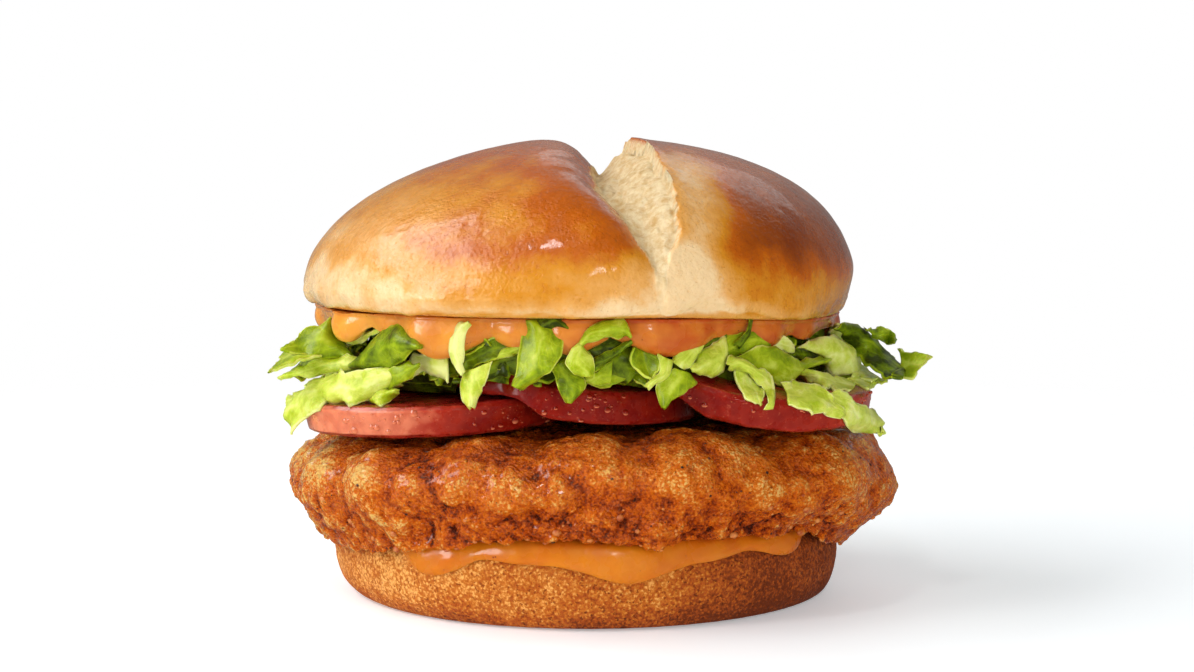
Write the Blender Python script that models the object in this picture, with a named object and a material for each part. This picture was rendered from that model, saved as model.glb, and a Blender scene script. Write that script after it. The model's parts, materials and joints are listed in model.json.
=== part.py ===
"""Chicken burger: a crisp fillet with tomato, shredded lettuce and sauce in a split bun.

Every size below is in millimetres and is turned to metres when a mesh is made. The burger stands
on its heel at the origin, +Z up, and shows its dressed side towards -Y. An azimuth is counted
from that side (-Y) towards +X.
"""

import math
import random

import bmesh
import bpy
import numpy as np
from mathutils import Vector, noise

MM = 0.001
GAP = 0.4  # air between one food and the next, so that the solids never share volume

# Heel, the lower half of the bun
HEEL_FOOT_R = 46.4
HEEL_WALL_R = 50.4
HEEL_TOP_R = 46.0
HEEL_WALL_Z = 10.5
HEEL_TOP_Z = 16.0
HEEL_SIDES = 50

# Sauce spread on the heel
LOW_SAUCE_THICK = 1.0
LOW_SAUCE_LIFT = 0.7
# azimuth, half width in degrees, and how far down the heel each run reaches
LOW_SAUCE_RUNS = (
    (-34, 10, 5.8),
    (-12, 15, 2.8),
    (8, 12, 5.6),
    (26, 13, 3.0),
    (47, 9, 3.8),
    (128, 14, 3.6),
    (176, 18, 5.0),
    (222, 11, 4.2),
)

# Fried fillet
PATTY_TOP_Z = 33.2
PATTY_LEFT = -58.5
PATTY_RIGHT = 61.5
PATTY_FRONT = -54.0
PATTY_BACK = 51.0
# azimuth, height, radius and rise of the big lumps of crust on the side that shows
PATTY_LUMPS = (
    (-84, 25, 9, 1.6),
    (-60, 27, 11, 2.8),
    (-41, 25, 10, 2.4),
    (-25, 30, 9, 2.2),
    (-15, 22, 10, 2.6),
    (2, 30, 10, 3.0),
    (11, 23, 9, 2.2),
    (23, 29, 11, 3.2),
    (38, 23, 9, 1.8),
    (52, 28, 12, 2.4),
    (74, 23, 11, 2.0),
)

# Tomato slices: the lower one first, each leaning on the one before it
SLICE_SIDES = 32
SLICE_SAG_FROM = 30.0
CROWN_X = -1.1

# Crown, the upper half of the bun
CROWN_R = 54.9
CROWN_CUT_R = 52.9
CROWN_CUT_Z = 56.7
CROWN_WAIST_Z = 59.8
CROWN_TOP_Z = 89.4
CROWN_STEPS = 10
# exponent of the dome's outline on each side: 2 is an ellipse, and more is fuller
CROWN_ROUND_LEFT = 1.86
CROWN_ROUND_RIGHT = 2.3
CROWN_DROOP = 2.0  # how much lower its rim hangs at the right end
# the tear in the crown, as stations: x, y, half width left, half width right, depth
TEAR = (
    (15.0, -60.0, 0.5, 0.5, 0.9),
    (14.2, -53.5, 1.1, 1.0, 1.6),
    (13.0, -49.0, 3.0, 2.6, 2.6),
    (11.8, -43.5, 5.4, 4.2, 4.2),
    (9.8, -37.0, 6.6, 5.2, 5.4),
    (7.6, -25.0, 7.2, 5.0, 6.2),
    (5.6, -10.0, 7.4, 4.2, 6.4),
    (3.6, 6.0, 6.6, 4.0, 5.6),
    (1.6, 20.0, 4.6, 3.2, 4.0),
    (0.2, 32.0, 2.2, 1.8, 2.2),
    (-0.6, 40.0, 0.7, 0.7, 0.9),
)

# Sauce under the crown
TOP_SAUCE_Z = CROWN_CUT_Z - GAP
TOP_SAUCE_THICK = 2.2
# azimuth, half width in degrees, and how far below the layer each run hangs
TOP_SAUCE_RUNS = (
    (-54, 8, 3.2),
    (-34, 12, 5.6),
    (-4, 10, 4.6),
    (17, 12, 4.8),
    (45, 10, 5.0),
    (98, 11, 3.4),
    (140, 15, 4.6),
    (187, 12, 3.6),
    (231, 14, 4.8),
    (272, 9, 3.0),
)

# Shredded lettuce
SHRED_THICK = 0.9
SHRED_STEPS = 5
LETTUCE_CORE_R = 43.0
LETTUCE_TOP_Z = 52.2
BACK_SHREDS = 11
SEED = 11


def ring_xy(radius, azimuth):
    """A point at a radius and an azimuth in radians, counted from -Y towards +X."""
    return radius * math.sin(azimuth), -radius * math.cos(azimuth)


def smooth(low, high, value):
    t = min(1.0, max(0.0, (value - low) / (high - low)))
    return t * t * (3 - 2 * t)


def soft_max(a, b, softness):
    """The larger of two heights, rounded off where they meet."""
    h = max(softness - abs(a - b), 0.0) / softness
    return max(a, b) + h * h * softness / 4


def turn_between(azimuth, centre):
    """Degrees from one azimuth to another, by the short way round."""
    return abs((azimuth - centre + 180) % 360 - 180)


def run_depth(runs, azimuth):
    """How far the sauce has run at an azimuth in degrees: rounded lobes, and nothing between."""
    depth = 0.0
    for centre, half_width, reach in runs:
        t = turn_between(azimuth, centre) / half_width
        if t < 1.6:
            depth = max(depth, reach * math.exp(-1.4 * t * t * t))
    return depth


def material(name, colour, roughness):
    made = bpy.data.materials.new(name)
    made.use_nodes = True
    shader = made.node_tree.nodes["Principled BSDF"]
    shader.inputs["Base Color"].default_value = (*colour, 1.0)
    shader.inputs["Roughness"].default_value = roughness
    shader.inputs["Metallic"].default_value = 0.0
    return made


def add_object(name, verts, faces, mat=None):
    """A mesh object from points in millimetres, with its faces turned outwards."""
    mesh = bpy.data.meshes.new(name)
    mesh.from_pydata([(x * MM, y * MM, z * MM) for x, y, z in verts], [], faces)
    form = bmesh.new()
    form.from_mesh(mesh)
    bmesh.ops.recalc_face_normals(form, faces=form.faces)
    form.to_mesh(mesh)
    form.free()
    mesh.shade_smooth()
    if mat:
        mesh.materials.append(mat)
    made = bpy.data.objects.new(name, mesh)
    bpy.context.scene.collection.objects.link(made)
    return made


def closed_rings(name, rings, mat=None):
    """A closed body skinned over rings of equal count; its first and last item are the poles."""
    first_pole, *loops, last_pole = rings
    count = len(loops[0])
    verts = [first_pole]
    for loop in loops:
        verts.extend(loop)
    verts.append(last_pole)
    last = len(verts) - 1
    faces = []
    for i in range(count):
        j = (i + 1) % count
        faces.append((0, 1 + i, 1 + j))
        top = 1 + (len(loops) - 1) * count
        faces.append((last, top + j, top + i))
        for row in range(len(loops) - 1):
            a = 1 + row * count
            b = a + count
            faces.append((a + i, b + i, b + j, a + j))
    return add_object(name, verts, faces, mat)


def azimuths(count):
    return [2 * math.pi * i / count for i in range(count)]


def heel_profile(turn, a):
    """Radius, height and outward normal round the heel's edge: turn 0 is its top, 90 its wall, 180 its foot."""
    t = math.radians(turn)
    uneven = 0.35 * noise.noise(Vector((2 * math.sin(a), 2 * math.cos(a), 3.1)))
    upper = turn <= 90
    centre_r = HEEL_TOP_R if upper else HEEL_FOOT_R + math.sin(a)
    wide = HEEL_WALL_R - centre_r
    high = (HEEL_TOP_Z - HEEL_WALL_Z) if upper else HEEL_WALL_Z
    r = centre_r + (wide + uneven) * math.sin(t)
    z = HEEL_WALL_Z + high * math.cos(t)
    n = Vector((math.sin(t) / wide, math.cos(t) / high)).normalized()
    return r, z, n


def build_heel(mat):
    rings = [(0.0, 0.0, HEEL_TOP_Z)]
    for turn in (0, 22, 45, 68, 90, 114, 138, 160, 180):
        loop = []
        for a in azimuths(HEEL_SIDES):
            r, z, _ = heel_profile(turn, a)
            loop.append((*ring_xy(r, a), z))
        rings.append(loop)
    rings.append((0.0, 0.0, 0.0))
    return closed_rings("heel", rings, mat)


def heel_turn_at(drop):
    """The turn of the heel's edge that lies this far below its top."""
    z = HEEL_TOP_Z - drop
    high = HEEL_TOP_Z - HEEL_WALL_Z
    if z >= HEEL_WALL_Z:
        return math.degrees(math.acos((z - HEEL_WALL_Z) / high))
    return 90 + math.degrees(math.asin((HEEL_WALL_Z - z) / HEEL_WALL_Z))


def build_low_sauce(mat):
    """A spread sheet of sauce whose runs hang down the heel's wall."""
    steps = 4
    under = [[] for _ in range(steps + 1)]
    over = [[] for _ in range(steps + 1)]
    lip = []
    for a in azimuths(HEEL_SIDES):
        drop = 0.35 + run_depth(LOW_SAUCE_RUNS, math.degrees(a))
        last = heel_turn_at(drop)
        full = min(1.0, drop / 3.0)
        for k in range(steps + 1):
            share = k / steps
            r, z, n = heel_profile(last * share, a)
            thick = LOW_SAUCE_THICK + full * 0.9 * math.sin(math.pi * share) ** 2
            for lift, loops in ((LOW_SAUCE_LIFT, under), (LOW_SAUCE_LIFT + thick, over)):
                loops[k].append((*ring_xy(r + n.x * lift, a), z + n.y * lift))
        r, z, n = heel_profile(last + 5 + 4 * full, a)
        lip.append((*ring_xy(r + n.x * (GAP + 0.45), a), z + n.y * (GAP + 0.45)))
    rings = [(0.0, 0.0, HEEL_TOP_Z + LOW_SAUCE_LIFT), *under, lip, *reversed(over)]
    rings.append((0.0, 0.0, HEEL_TOP_Z + LOW_SAUCE_LIFT + LOW_SAUCE_THICK))
    return closed_rings("sauce_lower", rings, mat)


def slice_specs():
    """The three tomato slices: centre, radius, thickness, and the lie of the lower cut face."""
    return (
        {"name": "tomato_left", "x": -27.5, "y": -18.0, "r": 26.2, "thick": 5.9,
         "z": 34.7, "lean": 0.055, "sag": 0.2, "flare": 1.2},
        {"name": "tomato_middle", "x": -3.2, "y": -21.6, "r": 24.0, "thick": 5.9,
         "z": 39.4, "lean": -0.15, "sag": 1.3, "flare": -0.8},
        {"name": "tomato_right", "x": 29.8, "y": -22.5, "r": 24.2, "thick": 6.0,
         "z": 38.8, "lean": -0.17, "sag": 1.8, "flare": 0.9},
    )


def slice_floor(index, x, y):
    """Height of a slice's lower face. A slice rests on the one below it, so it is lifted clear there."""
    spec = slice_specs()[index]
    dx = x - spec["x"]
    z = spec["z"] + spec["lean"] * dx
    z -= spec["sag"] * (max(0.0, -y - SLICE_SAG_FROM) / 14) ** 2
    if index:
        below = slice_specs()[index - 1]
        away = math.hypot(x - below["x"], y - below["y"]) - below["r"]
        rest = slice_floor(index - 1, x, y) + below["thick"] + 0.9 * index
        rest -= 9 * smooth(2.0, 11.0, away)
        z = soft_max(z, rest, 1.2)
    return z


def build_slice(index, mat, grow=0.0, name=None):
    """A round slice of tomato with rounded skin; grow widens it all over, for a cutter."""
    spec = slice_specs()[index]
    loops = []
    # share of the radius, and share of the thickness from the lower face
    section = ((0.6, 0.0), (0.965, 0.0), (1.0, 0.14), (1.0, 0.86), (0.965, 1.0), (0.6, 1.0))
    for share, level in section:
        loop = []
        for a in azimuths(SLICE_SIDES):
            wobble = 1 + 0.012 * math.sin(3 * a + index) + 0.008 * math.sin(5 * a + 2 * index)
            radius = share * (spec["r"] + spec["flare"] * (level - 0.5)) * wobble + grow * share
            dx, dy = ring_xy(radius, a)
            x, y = spec["x"] + dx, spec["y"] + dy
            z = slice_floor(index, x, y) - grow + level * (spec["thick"] + 2 * grow)
            loop.append((x, y, z))
        loops.append(loop)
    x, y = spec["x"], spec["y"]
    low = slice_floor(index, x, y) - grow
    rings = [(x, y, low), *loops, (x, y, low + spec["thick"] + 2 * grow)]
    return closed_rings(name or spec["name"], rings, mat)


def slices_over(x, y, margin):
    """The lowest slice face above a point, or None where no slice is near."""
    found = None
    for index, spec in enumerate(slice_specs()):
        if math.hypot(x - spec["x"], y - spec["y"]) < spec["r"] + margin:
            z = slice_floor(index, x, y)
            found = z if found is None else min(found, z)
    return found


def slices_under(x, y, margin):
    """The highest slice face below a point, or None where no slice is near."""
    found = None
    for index, spec in enumerate(slice_specs()):
        if math.hypot(x - spec["x"], y - spec["y"]) < spec["r"] + margin:
            z = slice_floor(index, x, y) + spec["thick"]
            found = z if found is None else max(found, z)
    return found


def patty_radius(a):
    """The fillet's outline: a rounded slab, longer to the right, with a shallow uneven edge."""
    s, c = math.sin(a), math.cos(a)
    half_x = PATTY_RIGHT if s > 0 else -PATTY_LEFT
    half_y = -PATTY_FRONT if c > 0 else PATTY_BACK
    power = 2.3
    r = (abs(s / half_x) ** power + abs(c / half_y) ** power) ** (-1 / power)
    return r + 0.9 * noise.noise(Vector((3 * s, 3 * c, 0.7)))


def patty_foot(a):
    """How low the fillet's edge hangs beside the heel, by azimuth in radians."""
    turn = math.degrees(a)
    left = math.exp(-((turn_between(turn, -88) / 42) ** 4))
    right = math.exp(-((turn_between(turn, 88) / 40) ** 4))
    back = math.exp(-((turn_between(turn, 180) / 40) ** 4))
    return 16.6 - 6.2 * left - 7.0 * right - 1.5 * back


def lump_rise(azimuth, height, radius):
    """Rise of the crust at a point of the fillet's side, from the big lumps that reach it."""
    rise = 0.0
    for centre, z, size, high in PATTY_LUMPS:
        along = math.radians((azimuth - centre + 180) % 360 - 180) * radius
        far = (along * along + (height - z) ** 2) / (size * size)
        if far < 1:
            rise = max(rise, high * math.sqrt(1 - far))
    return rise


def crust_noise(point, scale):
    """Rounded crags with creases between them, from -0.5 to about 0.5."""
    distances, _ = noise.voronoi(Vector(point) / scale)
    return 0.5 - distances[0] * 1.1


def build_patty(mat):
    sides = 70
    # share along the side from the foot (0) to the top edge (1): inset from the outline, height share
    side = ((9.0, 0.0), (5.2, 0.12), (1.6, 0.3), (0.0, 0.46), (0.7, 0.64), (2.8, 0.82), (6.0, 0.96), (10.0, 1.04))
    loops = [[] for _ in range(3 + len(side) + 3)]
    for a in azimuths(sides):
        outline, foot, turn, s = patty_radius(a), patty_foot(a), math.degrees(a), math.sin(a)
        sauce = run_depth(LOW_SAUCE_RUNS, turn)
        lift = LOW_SAUCE_LIFT + GAP + LOW_SAUCE_THICK + 0.15 + min(0.9, 0.3 * sauce)
        for k in range(3):
            r, z, n = heel_profile(22 * k, a)
            loops[k].append((*ring_xy(r + n.x * lift, a), z + n.y * lift))
        foot = max(foot, 15.4) if sauce > 1.2 else foot
        for k, (inset, share) in enumerate(side):
            z = foot + share * (PATTY_TOP_Z - foot)
            slope = 1.1 + 0.25 * s if share < 0.4 else 1.15 - 0.25 * s
            r = outline - inset * slope
            near = HEEL_WALL_R + 3 * GAP + (2.2 if sauce > 0.2 else 0.2)
            push = lump_rise(turn, z, outline) - 1.2
            push += 1.5 * crust_noise((*ring_xy(outline, a), z), 7.0)
            push *= smooth(-0.05, 0.25, share)
            out = 1 - smooth(0.7, 1.1, share)
            r += push * out
            if k < 3:
                r = max(r, near)
            x, y = ring_xy(r, a)
            z += push * (1 - out)
            loops[3 + k].append((x, y, z))
        for k, share in enumerate((0.62, 0.4, 0.2)):
            x, y = ring_xy(outline * share, a)
            z = PATTY_TOP_Z + 0.6 + 1.8 * crust_noise((x, y, 30.0), 9.0)
            loops[3 + len(side) + k].append((x, y, z))
    for loop in loops[-6:]:
        for i, (x, y, z) in enumerate(loop):
            roof = slices_over(x, y, 4.0)
            if roof is not None:
                loop[i] = (x, y, min(z, roof - GAP - 0.5))
    rings = [(0.0, 0.0, loops[0][0][2]), *loops, (0.0, 0.0, PATTY_TOP_Z + 0.2)]
    return closed_rings("patty", rings, mat)


def droop(x):
    """How far the crown's rim, and what lies under it, hangs lower towards the right."""
    return CROWN_DROOP * smooth(12.0, 54.0, x)


def crown_round(x):
    return CROWN_ROUND_LEFT + (CROWN_ROUND_RIGHT - CROWN_ROUND_LEFT) * smooth(-30.0, 25.0, x)


def dome_point(a, level):
    """The crown's skin: level 0 is its waist and 1 its top."""
    t = math.pi / 2 * level
    power = 2 / crown_round(CROWN_R * math.sin(a))
    r = CROWN_R * math.cos(t) ** power
    z = CROWN_WAIST_Z + (CROWN_TOP_Z - CROWN_WAIST_Z) * math.sin(t) ** power
    x, y = ring_xy(r, a)
    return CROWN_X + x, y, z - droop(x) * math.cos(t) ** 4


def build_crown(mat):
    sides = 56
    rings = [(CROWN_X, 0.0, CROWN_CUT_Z)]
    for radius, z in ((30.0, 0.0), (CROWN_CUT_R - 2.0, 0.0), (CROWN_CUT_R, 0.25), (CROWN_CUT_R + 1.5, 1.2)):
        loop = []
        for a in azimuths(sides):
            x, y = ring_xy(radius, a)
            loop.append((CROWN_X + x, y, CROWN_CUT_Z + z - droop(x)))
        rings.append(loop)
    for step in range(CROWN_STEPS):
        rings.append([dome_point(a, step / CROWN_STEPS) for a in azimuths(sides)])
    rings.append((CROWN_X, 0.0, CROWN_TOP_Z))
    crown = closed_rings("crown", rings, mat)
    tear = build_tear()
    cut = crown.modifiers.new("tear", "BOOLEAN")
    cut.operation = "DIFFERENCE"
    cut.object = tear
    cut.solver = "EXACT"
    return crown


def crown_height(x, y):
    """Height of the crown's skin above a point, or of its waist outside."""
    far = math.hypot(x - CROWN_X, y) / CROWN_R
    if far >= 1:
        return CROWN_WAIST_Z
    power = crown_round(x / far if far > 0.05 else x)
    return CROWN_WAIST_Z + (CROWN_TOP_Z - CROWN_WAIST_Z) * (1 - far**power) ** (1 / power)


def build_tear():
    """The wedge that opens the crown: a gentle left slope, a flat floor and a steep right wall."""
    loops = []
    for x, y, left, right, depth in TEAR:
        far = math.hypot(x - CROWN_X, y)
        z = crown_height(x, y)
        # the skin's outward direction, so that the cut stays square to the dome on its steep front
        steep = smooth(30.0, 54.0, far)
        out = Vector(((x - CROWN_X) / far * steep, y / far * steep, 1.15 - steep)).normalized()
        base = Vector((x, y, z)) if far < CROWN_R else Vector((x, y, CROWN_CUT_Z - 3.0))
        over = out * 9.0
        floor = out * -depth
        side = Vector((1.0, 0.0, 0.0))
        loops.append([
            base + over - side * (left + 6.0),
            base + out * 0.8 - side * (left + 1.2),
            base + floor * 0.62 - side * left * 0.62,
            base + floor - side * left * 0.15,
            base + floor * 0.92 + side * right * 0.55,
            base + out * 0.3 + side * right,
            base + over + side * (right + 1.0),
        ])
    ends = [sum(loop, Vector()) / len(loop) for loop in (loops[0], loops[-1])]
    rings = [tuple(ends[0]), *[[tuple(p) for p in loop] for loop in loops], tuple(ends[1])]
    cutter = closed_rings("tear_cutter", rings)
    cutter.hide_render = True
    cutter.display_type = "WIRE"
    return cutter


def top_sauce_radius(turn):
    """Radius of the sauce under the crown: a little short of its rim at the front, out to it at the sides."""
    wide = math.sin(math.radians(turn)) ** 2
    return 46.4 + 5.0 * wide + 0.7 * math.sin(math.radians(5 * turn))


def build_top_sauce(mat):
    sides = 54
    loops = [[] for _ in range(10)]
    for a in azimuths(sides):
        turn = math.degrees(a)
        r = top_sauce_radius(turn)
        run = run_depth(TOP_SAUCE_RUNS, turn)
        full = min(1.0, run / 3.0)
        floor = TOP_SAUCE_Z - TOP_SAUCE_THICK
        end = floor - run
        section = (
            (38.0, TOP_SAUCE_Z),
            (r - 0.6, TOP_SAUCE_Z),
            (r, TOP_SAUCE_Z - 0.7),
            (r + 0.5 * full, floor - 0.25 * run),
            (r + 0.9 * full, floor - 0.65 * run),
            (r + 0.1, end),
            (r - 1.2, end - 0.3 * full),
            (r - 2.2 + 0.2 * full, end + 0.8 * full),
            (r - 2.8, floor + 0.2),
            (38.0, floor + 0.3),
        )
        for k, (radius, z) in enumerate(section):
            x, y = ring_xy(radius, a)
            loops[k].append((CROWN_X + x, y, z - droop(x)))
    rings = [(CROWN_X, 0.0, TOP_SAUCE_Z), *loops, (CROWN_X, 0.0, TOP_SAUCE_Z - TOP_SAUCE_THICK + 0.3)]
    return closed_rings("sauce_upper", rings, mat)


def shred_specs():
    """The shreds of lettuce. Each has a root, a crest and a tip in millimetres, then its width, its roll
    about its own line, its twist from root to tip, its curl across, all in degrees, and its point from
    0 for a square end to 1 for a sharp one."""
    front = [
        # left cluster
        ((-42, -30, 50.5), (-50, -25, 54.5), (-57, -20, 48.4), 8, 10, 20, 50, 0.5),
        ((-46, -26, 50.5), (-55, -20, 50.4), (-60.9, -15, 44.3), 6.5, -10, 10, 30, 0.8),
        ((-40, -36, 48.9), (-47, -32, 49.5), (-56, -23, 49.3), 4.5, 40, -20, 60, 0.4),
        ((-40, -37, 47.9), (-47, -32, 46.5), (-58, -20, 43.6), 5, 20, 15, -40, 1.0),
        ((-41, -38, 49.5), (-35, -44, 51.7), (-28.5, -45, 51.3), 8.5, 30, -15, 35, 0.7),
        ((-31, -40, 47.4), (-43, -40, 44.5), (-55, -30, 35.2), 8.5, 20, -20, -35, 0.6),
        ((-40, -36, 45.5), (-50, -31, 44), (-57, -24, 39.9), 6.5, 10, 15, 30, 0.7),
        ((-24, -42, 48.4), (-30, -44, 47.7), (-37, -43, 45.4), 7, 15, 10, 30, 0.3),
        # middle cluster
        ((-12, -43, 50.5), (-17.5, -47, 49.6), (-23, -48.5, 47.3), 5.5, 25, -20, -80, 0.2),
        ((-21, -46, 47.1), (-24, -49, 51.4), (-20.6, -47.5, 55.5), 4.5, 75, 35, -50, 0.3),
        ((-9, -45, 50.5), (-7.5, -50.5, 52.5), (-12, -50.5, 44.7), 8, 0, -25, 45, 0.9),
        ((-3.5, -45, 50.5), (-3.2, -49.5, 48.1), (-2.6, -49.5, 41.8), 5.5, 10, 15, -35, 0.6),
        ((7.8, -45, 50.5), (4.0, -48.5, 55.1), (-2.6, -50.5, 48.9), 5, 25, -25, 45, 0.4),
        ((8, -43, 50.5), (5, -46.5, 49.3), (3.4, -47.6, 44.7), 5, 30, -30, -60, 0.2),
        # right cluster
        ((9, -44, 50.5), (10.6, -48.5, 48.9), (12.4, -49.5, 44.7), 5.5, -20, 40, -50, 0.8),
        ((16, -45, 49.5), (15.4, -49.5, 47.5), (13.8, -50.4, 41.1), 6.5, 10, -15, 35, 0.8),
        ((22, -42, 50.5), (20.6, -46, 50.9), (20.2, -47.5, 46.3), 6.5, 15, 15, 40, 0.3),
        ((38.5, -40, 46.9), (31.5, -45, 49.5), (25.0, -46.4, 48.5), 7, 25, -20, 40, 0.5),
        ((25, -43, 49.9), (29.6, -48, 46.5), (31.8, -48, 40.3), 4.4, 15, 80, 55, 0.5),
        ((27, -41, 47.9), (28, -46.2, 44.9), (30.4, -45.8, 40.7), 5, -5, -15, 30, 0.6),
        ((35.5, -40, 47.7), (38.5, -43.5, 43.1), (45.4, -40, 38.7), 6.5, -10, 25, -35, 0.7),
        ((37, -37, 49), (48.5, -41, 42.6), (54.2, -34.5, 34.3), 5.5, 10, 20, -40, 0.4),
        ((37, -34, 50.5), (44.5, -34.5, 49.7), (49.4, -31.4, 44.7), 9, 0, 20, 35, 0.4),
        ((42, -30, 50.5), (50, -28.5, 52.6), (59.2, -18, 43.8), 6.4, 20, 40, 40, 0.5),
        ((46, -22, 47), (57, -17, 47.4), (66.9, -13.5, 46.4), 6.6, 5, 25, 40, 0.4),
        ((44, -28, 47.9), (52, -25, 44.5), (58.2, -19, 42.3), 5, 10, -20, -30, 0.8),
    ]
    draw = random.Random(SEED)
    back = []
    for i in range(BACK_SHREDS):
        a = math.radians(88 + 184 * (i + 0.5 * draw.random()) / BACK_SHREDS)
        swing = math.radians(draw.uniform(-14, 14))
        high = draw.uniform(46.5, 50.0)
        out, fall = draw.uniform(47.5, 51.0), draw.uniform(-1.5, 3.0)
        reach, end = draw.uniform(50.0, 56.0), draw.uniform(38.5, 47.0)
        back.append((
            (*ring_xy(draw.uniform(38, 42), a), high),
            (*ring_xy(out, a + swing / 2), high - fall),
            (*ring_xy(reach, a + swing), end),
            draw.uniform(4.5, 8.0), draw.uniform(-25, 25), draw.uniform(-45, 45),
            draw.choice((-50, -35, 35, 50)), draw.uniform(0.3, 0.9),
        ))
    return front + back


def through_points(points, count):
    """Points along a smooth curve (Catmull-Rom) that passes through the given ones."""
    pts = [2 * points[0] - points[1], *points, 2 * points[-1] - points[-2]]
    curve = []
    for i in range(count):
        t = i / (count - 1) * (len(points) - 1)
        k = min(int(t), len(points) - 2)
        t -= k
        a, b, c, d = pts[k : k + 4]
        curve.append(0.5 * (2 * b + (c - a) * t + (2 * a - 5 * b + 4 * c - d) * t**2 + (3 * b - a - 3 * c + d) * t**3))
    return curve


def shred_solid(name, spec, grow=0.0):
    """One shred as a thin wavy solid, both faces split alike; it starts inside the heap."""
    root, crest, tip, width, roll, twist, curl, point = spec
    root, crest, tip = Vector(root), Vector(crest), Vector(tip)
    inward = (LETTUCE_CORE_R - 4.0) / math.hypot(root.x, root.y)
    buried = Vector((root.x * inward, root.y * inward, 0.5 * (root.z + LETTUCE_TOP_Z - 3.0)))
    spine = through_points([buried, root, crest, tip], SHRED_STEPS)
    facing = Vector((crest.x, crest.y, 0)).normalized() * 0.62 + Vector((0, 0, 0.78))
    half_thick = SHRED_THICK / 2 + grow
    grid = []
    for i, at in enumerate(spine):
        s = i / (SHRED_STEPS - 1)
        along = (spine[min(i + 1, SHRED_STEPS - 1)] - spine[max(i - 1, 0)]).normalized()
        normal = (facing - along * facing.dot(along)).normalized()
        angle = math.radians(roll + twist * s)
        across = along.cross(normal)
        normal, across = (
            normal * math.cos(angle) + across * math.sin(angle),
            across * math.cos(angle) - normal * math.sin(angle),
        )
        half = width / 2 * (0.72 + 0.28 * math.sin(math.pi * min(1.0, 0.2 + s)))
        half *= 1 - point * max(0.0, s - 0.62) / 0.38 * 0.86
        half += grow
        bend = math.radians(curl)
        row = []
        for u in (-1, 0, 1):
            turn = bend * u / 2
            offset = across * (math.sin(turn) / bend * 2 * half)
            offset += normal * ((math.cos(turn) - 1) / bend * 2 * half + 0.35 * u * u * math.sin(9 * s + width))
            row.append((at + offset, normal * math.cos(turn) + across * math.sin(turn)))
        grid.append(row)
    if grow:
        reach = (grid[-1][1][0] - grid[-2][1][0]).normalized() * grow
        grid[-1] = [(p + reach, n) for p, n in grid[-1]]
    return thick_grid(name, grid, half_thick)


def thick_grid(name, grid, half_thick):
    """A closed thin body from a grid of (point, normal), with the same triangles on both faces."""
    rows, columns = len(grid), len(grid[0])
    verts = []
    for sign in (1, -1):
        for row in grid:
            verts.extend(tuple(p + n * half_thick * sign) for p, n in row)
    layer = rows * columns
    faces = []
    for i in range(rows - 1):
        for j in range(columns - 1):
            a = i * columns + j
            b, c, d = a + 1, a + columns + 1, a + columns
            faces += [(a, b, c), (a, c, d)]
            faces += [(layer + c, layer + b, layer + a), (layer + d, layer + c, layer + a)]
    rim = [j for j in range(columns)]
    rim += [i * columns + columns - 1 for i in range(1, rows)]
    rim += [(rows - 1) * columns + j for j in range(columns - 2, -1, -1)]
    rim += [i * columns for i in range(rows - 2, 0, -1)]
    for k, a in enumerate(rim):
        b = rim[(k + 1) % len(rim)]
        faces += [(a, layer + a, layer + b), (a, layer + b, b)]
    return add_object(name, verts, faces)


def build_lettuce_core(name, grow=0.0):
    """The hidden middle of the heap, lying on the tomato and, behind it, on the fillet."""
    sides = 30
    shares = (0.45, 0.8, 1.0)
    under = [[] for _ in shares]
    over = [[] for _ in shares]
    for a in azimuths(sides):
        edge = LETTUCE_CORE_R + 1.5 * math.sin(3 * a) + 1.2 * math.sin(7 * a + 1) + grow
        for k, share in enumerate(shares):
            x, y = ring_xy(edge * share, a)
            ground = slices_under(x, y, 3.0)
            low = PATTY_TOP_Z + 4.0 if ground is None else ground + GAP + 0.5
            low = min(low, LETTUCE_TOP_Z - 1.2)
            under[k].append((x, y, low - grow))
            over[k].append((x, y, LETTUCE_TOP_Z + grow - 0.6 * share - droop(x)))
    rings = [(0.0, 0.0, slices_under(0.0, 0.0, 0.0) + GAP + 0.5 - grow), *under, *reversed(over)]
    rings.append((0.0, 0.0, LETTUCE_TOP_Z + grow))
    return closed_rings(name, rings)


def fuse(base, others, operation):
    """Applies one Boolean with a collection of bodies to the base, then removes them."""
    group = bpy.data.collections.new("operands")
    bpy.context.scene.collection.children.link(group)
    for other in others:
        bpy.context.scene.collection.objects.unlink(other)
        group.objects.link(other)
    join = base.modifiers.new("fuse", "BOOLEAN")
    join.operation = operation
    join.operand_type = "COLLECTION"
    join.collection = group
    join.solver = "MANIFOLD"
    graph = bpy.context.evaluated_depsgraph_get()
    mesh = bpy.data.meshes.new_from_object(base.evaluated_get(graph))
    base.modifiers.clear()
    old = base.data
    base.data = mesh
    bpy.data.meshes.remove(old)
    for other in list(group.objects):
        bpy.data.objects.remove(other)
    bpy.data.collections.remove(group)
    return base


def keep_largest(obj):
    """Drops the loose scraps that a Boolean leaves, and keeps the body with the most faces."""
    form = bmesh.new()
    form.from_mesh(obj.data)
    left = set(form.faces)
    bodies = []
    while left:
        stack, body = [left.pop()], set()
        while stack:
            face = stack.pop()
            body.add(face)
            for edge in face.edges:
                for other in edge.link_faces:
                    if other in left:
                        left.discard(other)
                        stack.append(other)
        bodies.append(body)
    largest = max(bodies, key=len)
    bmesh.ops.delete(form, geom=[f for f in form.faces if f not in largest], context="FACES")
    form.to_mesh(obj.data)
    form.free()
    return obj


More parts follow.
